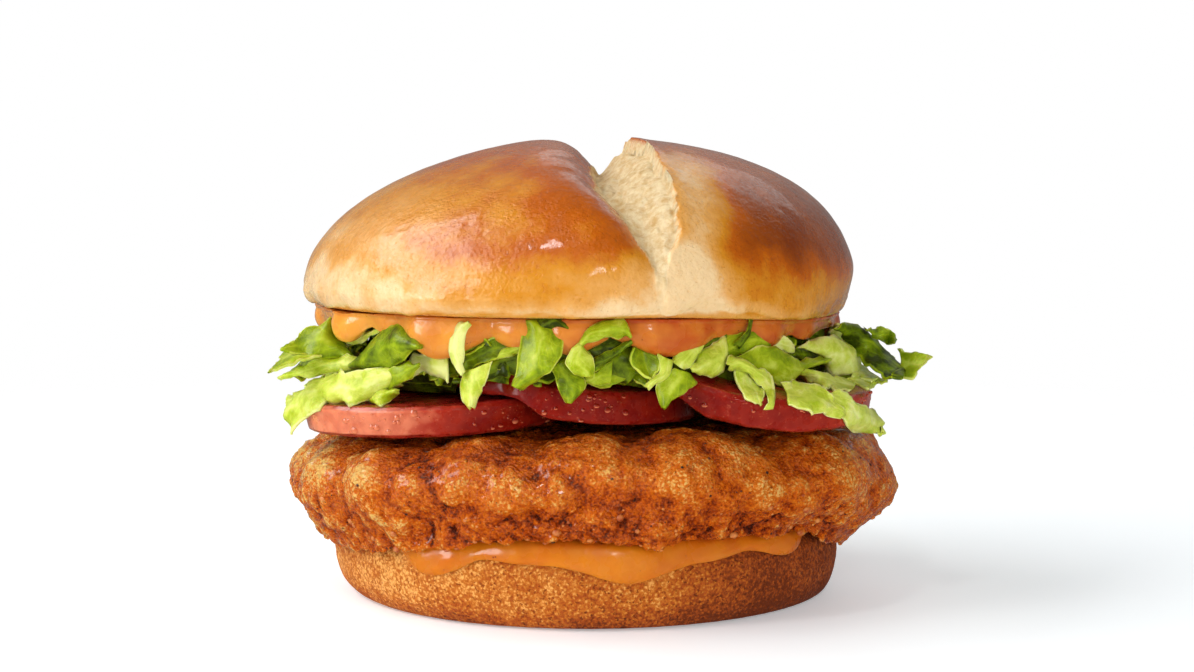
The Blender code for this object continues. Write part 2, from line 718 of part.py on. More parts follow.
def build_lettuce(name, mat, grow=0.0):
    """The heap: its core with every shred fused on, cut clear of the tomato below it."""
    heap = build_lettuce_core(name, grow)
    shreds = [shred_solid(f"shred_{i}", spec, grow) for i, spec in enumerate(shred_specs())]
    fuse(heap, shreds, "UNION")
    if not grow:
        cutters = [build_slice(i, None, 2 * GAP, f"cut_{i}") for i in range(3)]
        fuse(heap, cutters, "DIFFERENCE")
        keep_largest(heap)
        heap.data.materials.clear()
        heap.data.materials.append(mat)
    return heap


def main():
    for old in list(bpy.data.objects):
        bpy.data.objects.remove(old)
    crust = material("crust", (0.66, 0.30, 0.09), 0.35)
    heel_crust = material("heel_crust", (0.68, 0.36, 0.13), 0.75)
    sauce = material("sauce", (0.85, 0.38, 0.13), 0.2)
    chicken = material("chicken", (0.60, 0.22, 0.05), 0.4)
    tomato = material("tomato", (0.60, 0.07, 0.04), 0.25)
    green = material("lettuce", (0.36, 0.52, 0.10), 0.35)

    build_heel(heel_crust)
    build_low_sauce(sauce)
    build_patty(chicken)
    for index in range(3):
        build_slice(index, tomato)
    build_lettuce("lettuce", green)
    spread = build_top_sauce(sauce)
    room = [build_slice(i, None, 2 * GAP, f"slice_room_{i}") for i in range(3)]
    fuse(spread, [build_lettuce("lettuce_room", None, 1.5 * GAP), *room], "DIFFERENCE")
    keep_largest(spread)
    build_crown(crust)


main()
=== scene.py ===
import json
import math

import bmesh
import bpy
import numpy as np
from bpy.props import FloatProperty, FloatVectorProperty, IntProperty, PointerProperty
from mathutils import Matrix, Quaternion, Vector
from mathutils.bvhtree import BVHTree

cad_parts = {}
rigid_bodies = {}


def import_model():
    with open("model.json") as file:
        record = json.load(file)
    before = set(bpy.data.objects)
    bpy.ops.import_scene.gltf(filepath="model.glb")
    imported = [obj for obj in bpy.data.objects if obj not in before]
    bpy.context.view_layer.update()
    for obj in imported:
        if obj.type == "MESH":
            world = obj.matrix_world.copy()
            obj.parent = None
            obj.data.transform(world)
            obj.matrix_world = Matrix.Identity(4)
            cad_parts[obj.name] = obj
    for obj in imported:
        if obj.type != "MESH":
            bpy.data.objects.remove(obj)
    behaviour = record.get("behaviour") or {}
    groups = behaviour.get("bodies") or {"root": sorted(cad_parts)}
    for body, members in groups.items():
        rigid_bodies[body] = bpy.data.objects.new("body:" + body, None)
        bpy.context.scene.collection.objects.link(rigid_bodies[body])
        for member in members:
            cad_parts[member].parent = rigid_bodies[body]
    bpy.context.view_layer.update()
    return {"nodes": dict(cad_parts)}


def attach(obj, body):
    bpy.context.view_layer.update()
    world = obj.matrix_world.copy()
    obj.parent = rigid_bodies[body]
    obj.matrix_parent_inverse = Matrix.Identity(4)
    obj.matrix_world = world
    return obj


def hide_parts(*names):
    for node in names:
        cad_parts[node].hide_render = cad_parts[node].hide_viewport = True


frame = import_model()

bl_info = {
    "name": "Chicken Burger Dresser",
    "version": (1, 0, 0),
    "blender": (4, 5, 0),
    "location": "View3D > Sidebar > Burger",
    "description": "Dresses the burger's solids with baked crust, fried crumb, leaves, slices and sauce",
    "category": "Object",
}

MM = 0.001
BODY = "root"
SEED = 11
SLICES = ("tomato_left", "tomato_middle", "tomato_right")

# The view: the eye in millimetres, how far down it looks in degrees, and in the photo's own pixels
# its width, height, lens and the burger's middle
EYE = (0.0, -420.0, 82.0)
LOOK_DOWN = 4.4
PICTURE_WIDTH = 1194
PICTURE_HEIGHT = 672
PICTURE_LENS = 2100
PICTURE_MIDDLE = 586
SENSOR = 36.0

# The place that every lamp faces, in metres
LAMP_AIM = (0.0, 0.0, 0.05)

# Places and sizes in millimetres, the same as the solids have where they share them
CROWN_X = -1.1
CROWN_R = 54.9
CROWN_CUT_Z = 56.7
CROWN_WAIST_Z = 59.8
CROWN_TOP_Z = 89.4
CROWN_DROOP = 2.0
CROWN_TUCK = 2.4
TOP_SAUCE_Z = 56.3
TOP_SAUCE_R = 47.6
TOP_SAUCE_THICK = 2.2
HEAP_CORE_R = 42.0
HEAP_TOP_Z = 52.0
LEAF_THICK = 0.45
LEAF_PUSH = 26.0
LEAF_CLEARANCE = 0.7
LEAF_MISS = 0.35
LEAF_STEP = 0.5
INNER_LOW = 44.5
INNER_HIGH = 53.6
BACK_LOWEST = 35.0
FLOOR_HALF = 1500.0

# How full the crown's profile is on its left and its right, where 2 is an ellipse
CROWN_ROUND_LEFT = 1.86
CROWN_ROUND_RIGHT = 2.3

# How near to edge-on a place round the burger may be read, as a share of the radius
EDGE_ON = 0.22

# How finely the pieces are made, and how many lumps and leaves the photo doesn't show
CROWN_COLUMNS = 600
CROWN_ROWS = 118
TOP_SAUCE_COLUMNS = 420
TOP_SAUCE_ROWS = 44
HEAP_CORE_COLUMNS = 120
HEAP_CORE_ROWS = 16
LEAF_COLUMNS = 11
LEAF_ROWS = 26
BACK_LUMPS = 30
INNER_LEAVES = 44
BACK_LEAVES = 64

# Turns are counted from -Y towards +X. The back's leaves lie between these two, in degrees.
BACK_FROM = 72.0
BACK_TO = 288.0

# The tear over the crown: angle over it from the front rim, left edge x, right edge x, depth
TEAR = (
    (0.0, 12.7, 13.9, 0.8),
    (5.0, 12.5, 13.9, 1.0),
    (9.5, 12.3, 14.1, 1.4),
    (12.5, 11.2, 14.3, 2.4),
    (15.6, 9.8, 15.6, 3.6),
    (23.0, 6.9, 16.4, 4.9),
    (32.0, 3.0, 15.4, 5.8),
    (38.0, 1.4, 14.4, 6.4),
    (51.0, 0.6, 12.0, 7.2),
    (76.0, 0.6, 9.4, 7.8),
    (90.0, 0.6, 8.9, 7.8),
    (110.0, 0.8, 8.8, 7.2),
    (128.0, 1.0, 8.2, 6.2),
    (140.0, 1.4, 6.8, 4.4),
    (150.0, 2.0, 5.2, 2.4),
    (158.0, 2.8, 3.8, 0.4),
)

# Runs of the sauce under the crown: turn, half width in degrees, reach below the layer
TOP_RUNS = (
    (-59, 8, 3.4),
    (-45, 7, 1.2),
    (-31, 12, 4.8),
    (-14, 9, 3.4),
    (-2.5, 8, 4.2),
    (17.5, 12, 4.4),
    (31, 7, 1.0),
    (44, 10, 2.6),
    (60, 8, 1.2),
    (98, 11, 3.2),
    (140, 15, 4.4),
    (187, 12, 3.4),
    (231, 14, 4.4),
    (272, 9, 2.8),
)

# Lumps of the fillet's rim that show: turn, height, width, rise
FILLET_LUMPS = (
    (-84, 26, 6.5, 1.0),
    (-61, 27, 6.0, 1.2),
    (-44, 27, 6.0, 2.2),
    (-33, 26, 4.5, 1.4),
    (-24, 28, 5.5, 1.6),
    (-14, 26, 5.5, 1.6),
    (-6, 26, 5.0, 1.4),
    (2, 32, 6.5, 2.0),
    (9, 31, 5.0, 1.5),
    (18, 30.5, 6.5, 2.4),
    (30, 33, 7.0, 1.8),
    (34, 26.8, 6.0, 1.4),
    (56, 27.5, 8.0, 1.1),
    (2, 21, 4.0, 1.3),
    (14, 20, 5.0, 1.7),
    (-9, 33, 6.0, 1.2),
    (-27, 33, 5.0, 1.1),
    (-19, 20, 4.0, 1.0),
    (-40, 20, 4.5, 1.0),
    (27, 20.5, 4.0, 1.0),
    (43, 20.5, 4.0, 0.9),
)

# The enlarged close-ups of the photo in which the leaves' points were read off: each one's left
# and top edge in the photo's pixels, and how many times it is enlarged
CLOSE_UPS = {"left": (262, 300, 7.54), "middle": (440, 300, 7.65), "right": (625, 300, 4.98)}

# Leaves on the side that shows. Each has its close-up, its least radius at root and tip, its bow, its
# ruffle and its tone, where 0 is pale rib and 1 the darkest green; the darker tones carry painted shade as
# well as the leaf's own green. Then come its two edges from root to tip, as points in the close-up.
LEAVES = (
    ("left", 49, 61, 1.6, 0.5, 0.72,
     ((640, 240), (510, 145), (340, 225), (200, 345)),
     ((740, 430), (560, 430), (370, 432), (215, 392))),
    ("left", 55, 63.5, 0.6, 0.3, 0.55,
     ((360, 300), (205, 340), (125, 450), (65, 543)),
     ((470, 425), (330, 440), (200, 490), (65, 548))),
    ("left", 50, 61.5, 0.8, 0.5, 0.42,
     ((760, 430), (560, 438), (430, 440), (300, 500), (145, 578)),
     ((780, 525), (600, 525), (430, 575), (300, 585), (145, 590))),
    ("left", 49.5, 58, 1.5, 0.8, 0.32,
     ((1190, 488), (1000, 485), (800, 530), (620, 540), (430, 590), (300, 690), (185, 725)),
     ((1050, 640), (940, 690), (830, 740), (740, 775), (560, 765), (430, 780), (340, 890), (285, 1020))),
    ("left", 50.5, 51.5, 0.8, 0.3, 0.6,
     ((1205, 485), (1050, 480), (900, 560), (800, 640)),
     ((1200, 500), (1070, 630), (950, 668), (830, 705))),
    ("left", 51.5, 52, 1.2, 0.2, 0.45,
     ((1038, 668), (930, 680), (850, 700), (815, 735)),
     ((1035, 692), (965, 750), (900, 782), (830, 770))),
    ("left", 50.5, 52, 1.8, 0.4, 0.8,
     ((690, 465), (800, 350), (930, 225), (1045, 190), (1130, 265), (1235, 343)),
     ((750, 525), (860, 558), (960, 515), (1060, 460), (1140, 395), (1235, 352))),
    ("left", 48.5, 47.8, 0.6, 0.8, 0.12,
     ((1050, 480), (1160, 400), (1300, 395), (1425, 430)),
     ((1045, 640), (1150, 572), (1290, 578), (1428, 637))),
    ("left", 47.5, 48, 0.5, 0.3, 0.92,
     ((790, 200), (860, 165), (945, 185)),
     ((800, 260), (870, 270), (930, 250))),
    ("left", 49.5, 50, 0.5, 0.3, 0.3,
     ((640, 318), (760, 262), (870, 210), (905, 198)),
     ((660, 342), (780, 305), (860, 262), (905, 232))),
    ("left", 49, 51, 0.5, 0.3, 0.75,
     ((700, 270), (600, 250), (515, 225)),
     ((730, 340), (640, 335), (510, 330))),
    ("middle", 50.5, 51, 0.8, 0.2, 0.08,
     ((225, 160), (150, 190), (95, 290), (85, 420), (120, 530), (178, 578)),
     ((240, 172), (215, 220), (192, 310), (190, 400), (172, 480), (188, 562))),
    ("middle", 48, 49, -0.8, 0.2, 0.85,
     ((232, 178), (205, 290), (190, 400)),
     ((290, 230), (352, 298), (385, 330))),
    ("middle", 49.5, 47.5, -1, 0.4, 0.78,
     ((188, 400), (300, 355), (440, 285), (560, 200), (650, 165)),
     ((150, 565), (300, 500), (420, 455), (560, 425), (650, 330))),
    ("middle", 47.6, 47.2, 0.4, 0.2, 0.97,
     ((470, 170), (560, 150), (650, 150)),
     ((440, 290), (560, 240), (650, 215))),
    ("middle", 50, 51.5, 0.8, 0.4, 0.36,
     ((180, 565), (163, 680), (180, 760), (222, 820)),
     ((402, 468), (368, 600), (312, 720), (248, 812))),
    ("middle", 48.3, 48.6, 0.4, 0.3, 0.52,
     ((640, 325), (560, 345), (475, 385)),
     ((620, 395), (530, 430), (435, 452))),
    ("middle", 48.5, 52, 1.6, 0.4, 0.62,
     ((645, 150), (632, 270), (605, 420), (585, 560), (553, 655)),
     ((760, 150), (925, 240), (935, 400), (830, 552), (625, 672))),
    ("middle", 49.5, 49.8, 0.6, 0.1, 0.96,
     ((688, 212), (760, 160), (860, 120), (940, 165), (985, 214)),
     ((690, 240), (780, 240), (880, 212), (940, 222), (985, 220))),
    ("middle", 48.8, 51, 0.9, 0.4, 0.72,
     ((858, 520), (885, 600), (915, 700), (965, 787)),
     ((965, 435), (1085, 580), (1107, 670), (1015, 787))),
    ("middle", 50.2, 50.5, 0.9, 0.3, 0.56,
     ((1058, 342), (1130, 240), (1240, 175), (1385, 155), (1432, 210), (1457, 282)),
     ((1080, 352), (1160, 312), (1280, 287), (1380, 276), (1420, 276), (1457, 288))),
    ("middle", 48.5, 48.5, -0.8, 0.1, 1,
     ((1075, 345), (1200, 295), (1330, 270), (1458, 285)),
     ((1120, 400), (1190, 470), (1320, 425), (1460, 305))),
    ("middle", 50.4, 51.5, 1, 0.3, 0.5,
     ((1060, 335), (1000, 400), (962, 470), (1010, 540), (1095, 580)),
     ((1085, 345), (1130, 400), (1172, 432), (1183, 510), (1176, 588))),
    ("middle", 49.4, 49.2, 0.6, 0.2, 0.82,
     ((1182, 450), (1300, 400), (1400, 345), (1462, 298)),
     ((1184, 528), (1300, 472), (1400, 385), (1466, 335))),
    ("middle", 48.2, 48.6, 0.5, 0.2, 0.66,
     ((1108, 600), (1200, 530), (1316, 468)),
     ((1118, 628), (1210, 652), (1302, 653))),
    ("right", 49, 50.6, -0.9, 0.3, 0.68,
     ((42, 235), (25, 297), (70, 355), (125, 392)),
     ((125, 250), (170, 278), (165, 340), (135, 392))),
    ("right", 50.2, 51.2, 0.6, 0.3, 0.38,
     ((165, 275), (172, 350), (140, 388), (95, 428)),
     ((240, 305), (215, 372), (158, 402), (115, 438))),
    ("right", 49.6, 51.2, 0.8, 0.5, 0.62,
     ((240, 338), (182, 390), (165, 440), (188, 535)),
     ((325, 368), (360, 415), (300, 462), (192, 538))),
    ("right", 48.6, 50.4, 0.8, 0.4, 0.28,
     ((395, 178), (340, 200), (270, 250), (238, 312)),
     ((425, 176), (385, 250), (335, 320), (300, 356))),
    ("right", 48.4, 50, 0.9, 0.3, 0.34,
     ((500, 180), (425, 222), (365, 290), (320, 346)),
     ((492, 335), (462, 366), (400, 373), (328, 357))),
    ("right", 47.4, 47.8, 0.4, 0.3, 0.97,
     ((380, 215), (420, 175), (500, 170)),
     ((385, 260), (440, 235), (500, 210))),
    ("right", 49.2, 49.6, 0.4, 0.2, 0.95,
     ((612, 95), (600, 150), (545, 215)),
     ((630, 100), (616, 162), (575, 240))),
    ("right", 48.4, 48.6, 0.6, 0.4, 0.72,
     ((488, 175), (600, 152), (710, 185)),
     ((490, 305), (590, 265), (712, 245))),
    ("right", 47.8, 48, 0.4, 0.3, 0.14,
     ((620, 152), (710, 168), (830, 225)),
     ((690, 232), (760, 250), (830, 262))),
    ("right", 49, 50.5, 1.4, 0.5, 0.58,
     ((545, 290), (620, 243), (740, 230), (830, 290), (900, 300), (1000, 284)),
     ((590, 330), (690, 385), (750, 416), (830, 406), (880, 350), (995, 296))),
    ("right", 50.6, 51.8, 0.8, 0.3, 0.3,
     ((502, 312), (545, 280), (645, 330), (722, 370), (742, 430), (727, 538)),
     ((520, 332), (580, 352), (640, 402), (692, 455), (705, 500), (685, 548))),
    ("right", 49.8, 50.6, 0.5, 0.3, 0.34,
     ((545, 335), (550, 400), (590, 470), (655, 530)),
     ((610, 360), (650, 410), (682, 455), (668, 520))),
    ("right", 48.6, 50, 1.2, 0.5, 0.24,
     ((875, 240), (970, 198), (1070, 188), (1148, 245)),
     ((960, 285), (1000, 335), (1060, 378), (1130, 372))),
    ("right", 47.6, 47.8, 0.3, 0.2, 0.9,
     ((795, 245), (880, 245), (985, 275)),
     ((830, 295), (900, 292), (985, 300))),
    ("right", 51, 60, 1.6, 0.4, 0.93,
     ((1028, 152), (1120, 110), (1215, 160), (1280, 240), (1340, 300), (1350, 382)),
     ((1058, 178), (1130, 235), (1180, 290), (1230, 340), (1290, 393), (1345, 398))),
    ("right", 58, 58.5, 0.4, 0.3, 0.7,
     ((1195, 142), (1290, 140), (1352, 190)),
     ((1235, 188), (1300, 206), (1325, 218))),
    ("right", 61.5, 68.5, 0.8, 0.4, 0.48,
     ((1370, 238), (1440, 262), (1517, 280)),
     ((1350, 382), (1420, 386), (1517, 286))),
    ("right", 50, 54, 0.7, 0.4, 0.3,
     ((838, 345), (900, 328), (1010, 370), (1135, 403)),
     ((872, 375), (960, 412), (1060, 452), (1122, 448))),
    ("right", 49.8, 52.6, 0.9, 0.6, 0.32,
     ((778, 422), (860, 408), (960, 430), (1020, 500), (1087, 560)),
     ((800, 512), (870, 548), (940, 570), (1020, 573), (1082, 578))),
    ("right", 50.5, 57.5, 1.2, 0.5, 0.28,
     ((985, 462), (1085, 458), (1180, 540), (1250, 570), (1272, 650)),
     ((1000, 500), (1060, 565), (1120, 632), (1200, 668), (1272, 672))),
    ("right", 54, 58.5, 0.5, 0.4, 0.36,
     ((1115, 378), (1220, 380), (1312, 400)),
     ((1125, 422), (1220, 432), (1292, 408))),
    ("right", 52, 55, 0.5, 0.4, 0.22,
     ((1148, 298), (1205, 335), (1262, 378)),
     ((1115, 375), (1180, 392), (1235, 402))),
)


def tint(red, green, blue):
    """A linear colour from the usual 0 to 255 values."""
    values = [v / 255 for v in (red, green, blue)]
    return tuple(v / 12.92 if v <= 0.04045 else ((v + 0.055) / 1.055) ** 2.4 for v in values)


# Shape fields, all on points in millimetres

def lattice(x, y, z, seed):
    """A repeatable random number from 0 to 1 for each cell of a grid."""
    h = (x * 374761393 + y * 668265263 + z * 1440662683 + seed * 974634777) & 0xFFFFFFFF
    h = ((h ^ (h >> 13)) * 1274126177) & 0xFFFFFFFF
    return ((h ^ (h >> 16)) & 0xFFFFFF) / 0xFFFFFF


def soft_noise(points, size, seed=0):
    """Smooth noise from -1 to 1 whose blobs are about size across."""
    q = np.asarray(points, float) / size
    base = np.floor(q).astype(np.int64)
    f = q - base
    f = f * f * (3 - 2 * f)
    total = 0.0
    for corner in np.ndindex(2, 2, 2):
        weight = np.prod(np.where(corner, f, 1 - f), axis=-1)
        cell = base + corner
        total = total + weight * lattice(cell[..., 0], cell[..., 1], cell[..., 2], seed)
    return 2 * total - 1


def rough_noise(points, size, octaves, seed=0):
    """Noise with finer and finer detail over blobs of the given size."""
    total, high = 0.0, 1.0
    for k in range(octaves):
        total = total + high * soft_noise(points, size / 2**k, seed + k)
        high *= 0.5
    return total


def lumps(points, size, seed=0):
    """1 on the middle of each lump, falling to 0 and less in the creases between them."""
    q = np.asarray(points, float) / size
    base = np.floor(q).astype(np.int64)
    near = np.full(q.shape[:-1], 9.0)
    for step in np.ndindex(3, 3, 3):
        cell = base + np.array(step) - 1
        spot = np.stack([lattice(cell[..., 0], cell[..., 1], cell[..., 2], seed + k) for k in range(3)], -1)
        near = np.minimum(near, ((cell + spot - q) ** 2).sum(-1))
    return 1 - 1.25 * np.sqrt(near)


def ease(low, high, value):
    """0 at low and 1 at high, with a soft start and end."""
    t = np.clip((np.asarray(value, float) - low) / (high - low), 0, 1)
    return t * t * (3 - 2 * t)


def bell(value, centre, width):
    """1 at the centre, falling off softly over the width."""
    return np.exp(-(((value - centre) / width) ** 2))


def around(radius, turn):
    """The x and y of a place at a turn in radians, counted from -Y towards +X."""
    return radius * np.sin(turn), -radius * np.cos(turn)


def turn_of(points):
    """Each point's turn in degrees, from -180 to 180."""
    return np.degrees(np.arctan2(points[:, 0], -points[:, 1]))


def through(points, count):
    """Places along a smooth curve through the given points."""
    pts = np.array(points, float)
    pts = np.vstack([2 * pts[0] - pts[1], pts, 2 * pts[-1] - pts[-2]])
    t = np.linspace(0, len(points) - 1, count)
    k = np.minimum(t.astype(int), len(points) - 2)
    f = (t - k)[:, None]
    a, b, c, d = pts[k], pts[k + 1], pts[k + 2], pts[k + 3]
    return 0.5 * (2 * b + (c - a) * f + (2 * a - 5 * b + 4 * c - d) * f**2 + (3 * b - a - 3 * c + d) * f**3)


def run_reach(runs, turn):
    """How far the sauce has run at each turn in radians."""
    reach = np.zeros_like(turn)
    for centre, half_width, far in runs:
        away = np.abs((np.degrees(turn) - centre + 180) % 360 - 180) / half_width
        reach = np.maximum(reach, far * np.exp(-1.9 * away**2.3))
    return reach


def droop(x):
    """How far the crown and its sauce hang lower on the right."""
    return CROWN_DROOP * ease(12.0, 54.0, x)


# Meshes

def grid_faces(rows, columns, closed):
    """The quads of a grid of points, whose last column meets its first where it is closed."""
    last = columns if closed else columns - 1
    i, j = np.meshgrid(np.arange(rows - 1), np.arange(last), indexing="ij")
    a = i * columns + j
    b = i * columns + (j + 1) % columns
    return np.stack([a, b, b + columns, a + columns], -1).reshape(-1, 4)


def new_piece(name, points, faces, outward=True):
    """A mesh object from points in millimetres, at the origin, shaded smooth."""
    mesh = bpy.data.meshes.new(name)
    mesh.from_pydata((np.asarray(points) * MM).tolist(), [], faces)
    if outward:
        form = bmesh.new()
        form.from_mesh(mesh)
        bmesh.ops.recalc_face_normals(form, faces=form.faces)
        form.to_mesh(mesh)
        form.free()
    mesh.shade_smooth()
    piece = bpy.data.objects.new(name, mesh)
    bpy.context.scene.collection.objects.link(piece)
    return piece


def closed_body(name, rings):
    """A closed body over rings of equal count, from its lowest ring round to its highest."""
    rows, columns = rings.shape[:2]
    points = np.vstack([rings.reshape(-1, 3), rings[0].mean(0), rings[-1].mean(0)])
    faces = grid_faces(rows, columns, True).tolist()
    low, high = rows * columns, rows * columns + 1
    for j in range(columns):
        k = (j + 1) % columns
        faces.append([low, k, j])
        faces.append([high, (rows - 1) * columns + j, (rows - 1) * columns + k])
    return new_piece(name, points, faces)


def dense_copy(node, name, levels, crisp=0.0):
    """A node's shape with its doubles merged and its facets rounded off by subdivision.

    Where crisp is more than 0, edges with a sharp turn keep that share of their sharpness.
    """
    mesh = frame["nodes"][node].data.copy()
    form = bmesh.new()
    form.from_mesh(mesh)
    bmesh.ops.remove_doubles(form, verts=form.verts, dist=1e-6)
    if crisp:
        kept = form.edges.layers.float.new("crease_edge")
        for edge in form.edges:
            if len(edge.link_faces) == 2 and edge.calc_face_angle() > 0.6:
                edge[kept] = crisp
    form.to_mesh(mesh)
    form.free()
    source = bpy.data.objects.new(name + "_source", mesh)
    bpy.context.scene.collection.objects.link(source)
    rounding = source.modifiers.new("rounding", "SUBSURF")
    rounding.levels = levels
    rounding.render_levels = levels
    piece = plain_copy(source, name)
    bpy.data.objects.remove(source)
    piece.data.materials.clear()
    piece.data.shade_smooth()
    return piece


def plain_copy(source, name):
    """The evaluated shape of an object as a plain mesh object."""
    graph = bpy.context.evaluated_depsgraph_get()
    graph.update()
    mesh = bpy.data.meshes.new_from_object(source.evaluated_get(graph))
    piece = bpy.data.objects.new(name, mesh)
    bpy.context.scene.collection.objects.link(piece)
    return piece


def solid_tree(node):
    """A node's surface, to cast rays at."""
    mesh = frame["nodes"][node].data
    return BVHTree.FromPolygons([v.co for v in mesh.vertices], [p.vertices for p in mesh.polygons])


def read_points(piece):
    """The vertices in millimetres."""
    values = np.empty(len(piece.data.vertices) * 3, np.float32)
    piece.data.vertices.foreach_get("co", values)
    return values.reshape(-1, 3).astype(float) / MM


def read_normals(piece):
    """The direction that the surface faces at each vertex."""
    values = np.empty(len(piece.data.vertices) * 3, np.float32)
    piece.data.vertex_normals.foreach_get("vector", values)
    return values.reshape(-1, 3).astype(float)


def write_points(piece, points):
    """Puts the vertices at the given places in millimetres."""
    piece.data.vertices.foreach_set("co", (points * MM).astype(np.float32).ravel())
    piece.data.update()


def push_out(piece, points, normals, move):
    """Moves each vertex along its normal by its own number of millimetres."""
    write_points(piece, points + normals * move[:, None])


def paint(piece, name, values):
    """Keeps one number for each vertex, for the material to read."""
    layer = piece.data.attributes.get(name) or piece.data.attributes.new(name, "FLOAT", "POINT")
    layer.data.foreach_set("value", np.asarray(values, np.float32).ravel())


def finish(piece, slot, material, *nodes):
    """Gives a piece its one material and its body, and hides the nodes that it replaces; its slot is not
    used.
    """
    if not piece.data.materials:
        piece.data.materials.append(material)
    piece.data.materials[0] = material
    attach(piece, BODY)
    if nodes:
        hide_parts(*nodes)


# Materials

def add(tree, kind, inputs=None, **settings):
    """A node with its settings, and with each input either linked or set."""
    node = tree.nodes.new(kind)
    for key, value in settings.items():
        setattr(node, key, value)
    for key, value in (inputs or {}).items():
        if isinstance(value, bpy.types.NodeSocket):
            tree.links.new(value, node.inputs[key])
        else:
            node.inputs[key].default_value = value
    return node


def math_node(tree, operation, a, b=0.0, clamp=False):
    """Two values joined by one operation."""
    return add(tree, "ShaderNodeMath", {0: a, 1: b}, operation=operation, use_clamp=clamp).outputs[0]


def scaled(tree, value, factor, offset):
    """A value times a factor, plus an offset."""
    inputs = {0: value, 1: factor, 2: offset}
    return add(tree, "ShaderNodeMath", inputs, operation="MULTIPLY_ADD").outputs[0]


def fitted(tree, value, low, high, to_low=0.0, to_high=1.0):
    """A value moved softly from one range into another, and held inside it."""
    inputs = {"Value": value, "From Min": low, "From Max": high, "To Min": to_low, "To Max": to_high}
    return add(tree, "ShaderNodeMapRange", inputs, interpolation_type="SMOOTHSTEP").outputs[0]


def ramp(tree, factor, stops):
    """A colour that runs through the given stops."""
    node = add(tree, "ShaderNodeValToRGB", {0: factor})
    band = node.color_ramp
    while len(band.elements) < len(stops):
        band.elements.new(0.5)
    for element, (place, colour) in zip(band.elements, stops):
        element.position = place
        element.color = (*colour, 1.0)
    return node.outputs[0]


def blend(tree, factor, a, b):
    """A mix of two colours."""
    inputs = {}
    for index, value in ((0, factor), (6, a), (7, b)):
        inputs[index] = (*value, 1.0) if isinstance(value, tuple) and len(value) == 3 else value
    return add(tree, "ShaderNodeMix", inputs, data_type="RGBA").outputs[2]


def noise(tree, size, detail=2.0, rough=0.5):
    """Noise whose blobs are about size millimetres across."""
    place = add(tree, "ShaderNodeTexCoord").outputs["Object"]
    inputs = {"Vector": place, "Scale": 1 / (size * MM), "Detail": detail, "Roughness": rough}
    return add(tree, "ShaderNodeTexNoise", inputs).outputs["Fac"]


def painted(tree, name):
    """The number that paint() kept for each vertex."""
    return add(tree, "ShaderNodeAttribute", attribute_name=name).outputs["Fac"]


def bump(tree, height, strength, distance):
    """A normal roughened by a height, whose full depth is given in millimetres."""
    inputs = {"Height": height, "Strength": strength, "Distance": distance * MM}
    return add(tree, "ShaderNodeBump", inputs).outputs[0]


def grain_group():
    """Fine baked or fried grain: rounded granules with pits between, sized in millimetres."""
    old = bpy.data.node_groups.get("Baked grain")
    if old:
        return old
    tree = bpy.data.node_groups.new("Baked grain", "ShaderNodeTree")
    for name, end in (
        ("Granule size", "INPUT"),
        ("Pit depth", "INPUT"),
        ("Height", "OUTPUT"),
        ("Pits", "OUTPUT"),
    ):
        tree.interface.new_socket(name, in_out=end, socket_type="NodeSocketFloat")
    ends = add(tree, "NodeGroupInput"), add(tree, "NodeGroupOutput")
    place = add(tree, "ShaderNodeTexCoord").outputs["Object"]
    scale = math_node(tree, "DIVIDE", 1000.0, ends[0].outputs["Granule size"])
    cells = add(tree, "ShaderNodeTexVoronoi", {"Vector": place, "Scale": scale}, feature="SMOOTH_F1")
    finer = math_node(tree, "MULTIPLY", scale, 2.3)
    dust_inputs = {"Vector": place, "Scale": finer, "Detail": 3.0, "Roughness": 0.6}
    dust = add(tree, "ShaderNodeTexNoise", dust_inputs)
    round_top = math_node(tree, "SUBTRACT", 1.0, cells.outputs["Distance"])
    height = scaled(tree, dust.outputs["Fac"], 0.6, round_top)
    wide = add(tree, "ShaderNodeTexNoise", {"Vector": place, "Scale": scale, "Detail": 2.0})
    pits = fitted(tree, wide.outputs["Fac"], 0.60, 0.72)
    deep = math_node(tree, "MULTIPLY", pits, ends[0].outputs["Pit depth"])
    tree.links.new(math_node(tree, "SUBTRACT", height, deep), ends[1].inputs["Height"])
    tree.links.new(pits, ends[1].inputs["Pits"])
    return tree


def grain(tree, size, pit_depth):
    """The shared grain with its own size in millimetres and depth of pits."""
    node = add(tree, "ShaderNodeGroup", node_tree=grain_group())
    node.inputs["Granule size"].default_value = size
    node.inputs["Pit depth"].default_value = pit_depth
    return node


def new_material(name, **values):
    """A material, its tree, and its shader with the given fixed values."""
    material = bpy.data.materials.new(name)
    material.use_nodes = True
    tree = material.node_tree
    shader = tree.nodes["Principled BSDF"]
    for key, value in values.items():
        shader.inputs[key.replace("_", " ")].default_value = value
    return material, tree, shader


def join(tree, shader, **sockets):
    """Links sockets to the shader's inputs of the same names."""
    for key, socket in sockets.items():
        tree.links.new(socket, shader.inputs[key.replace("_", " ")])


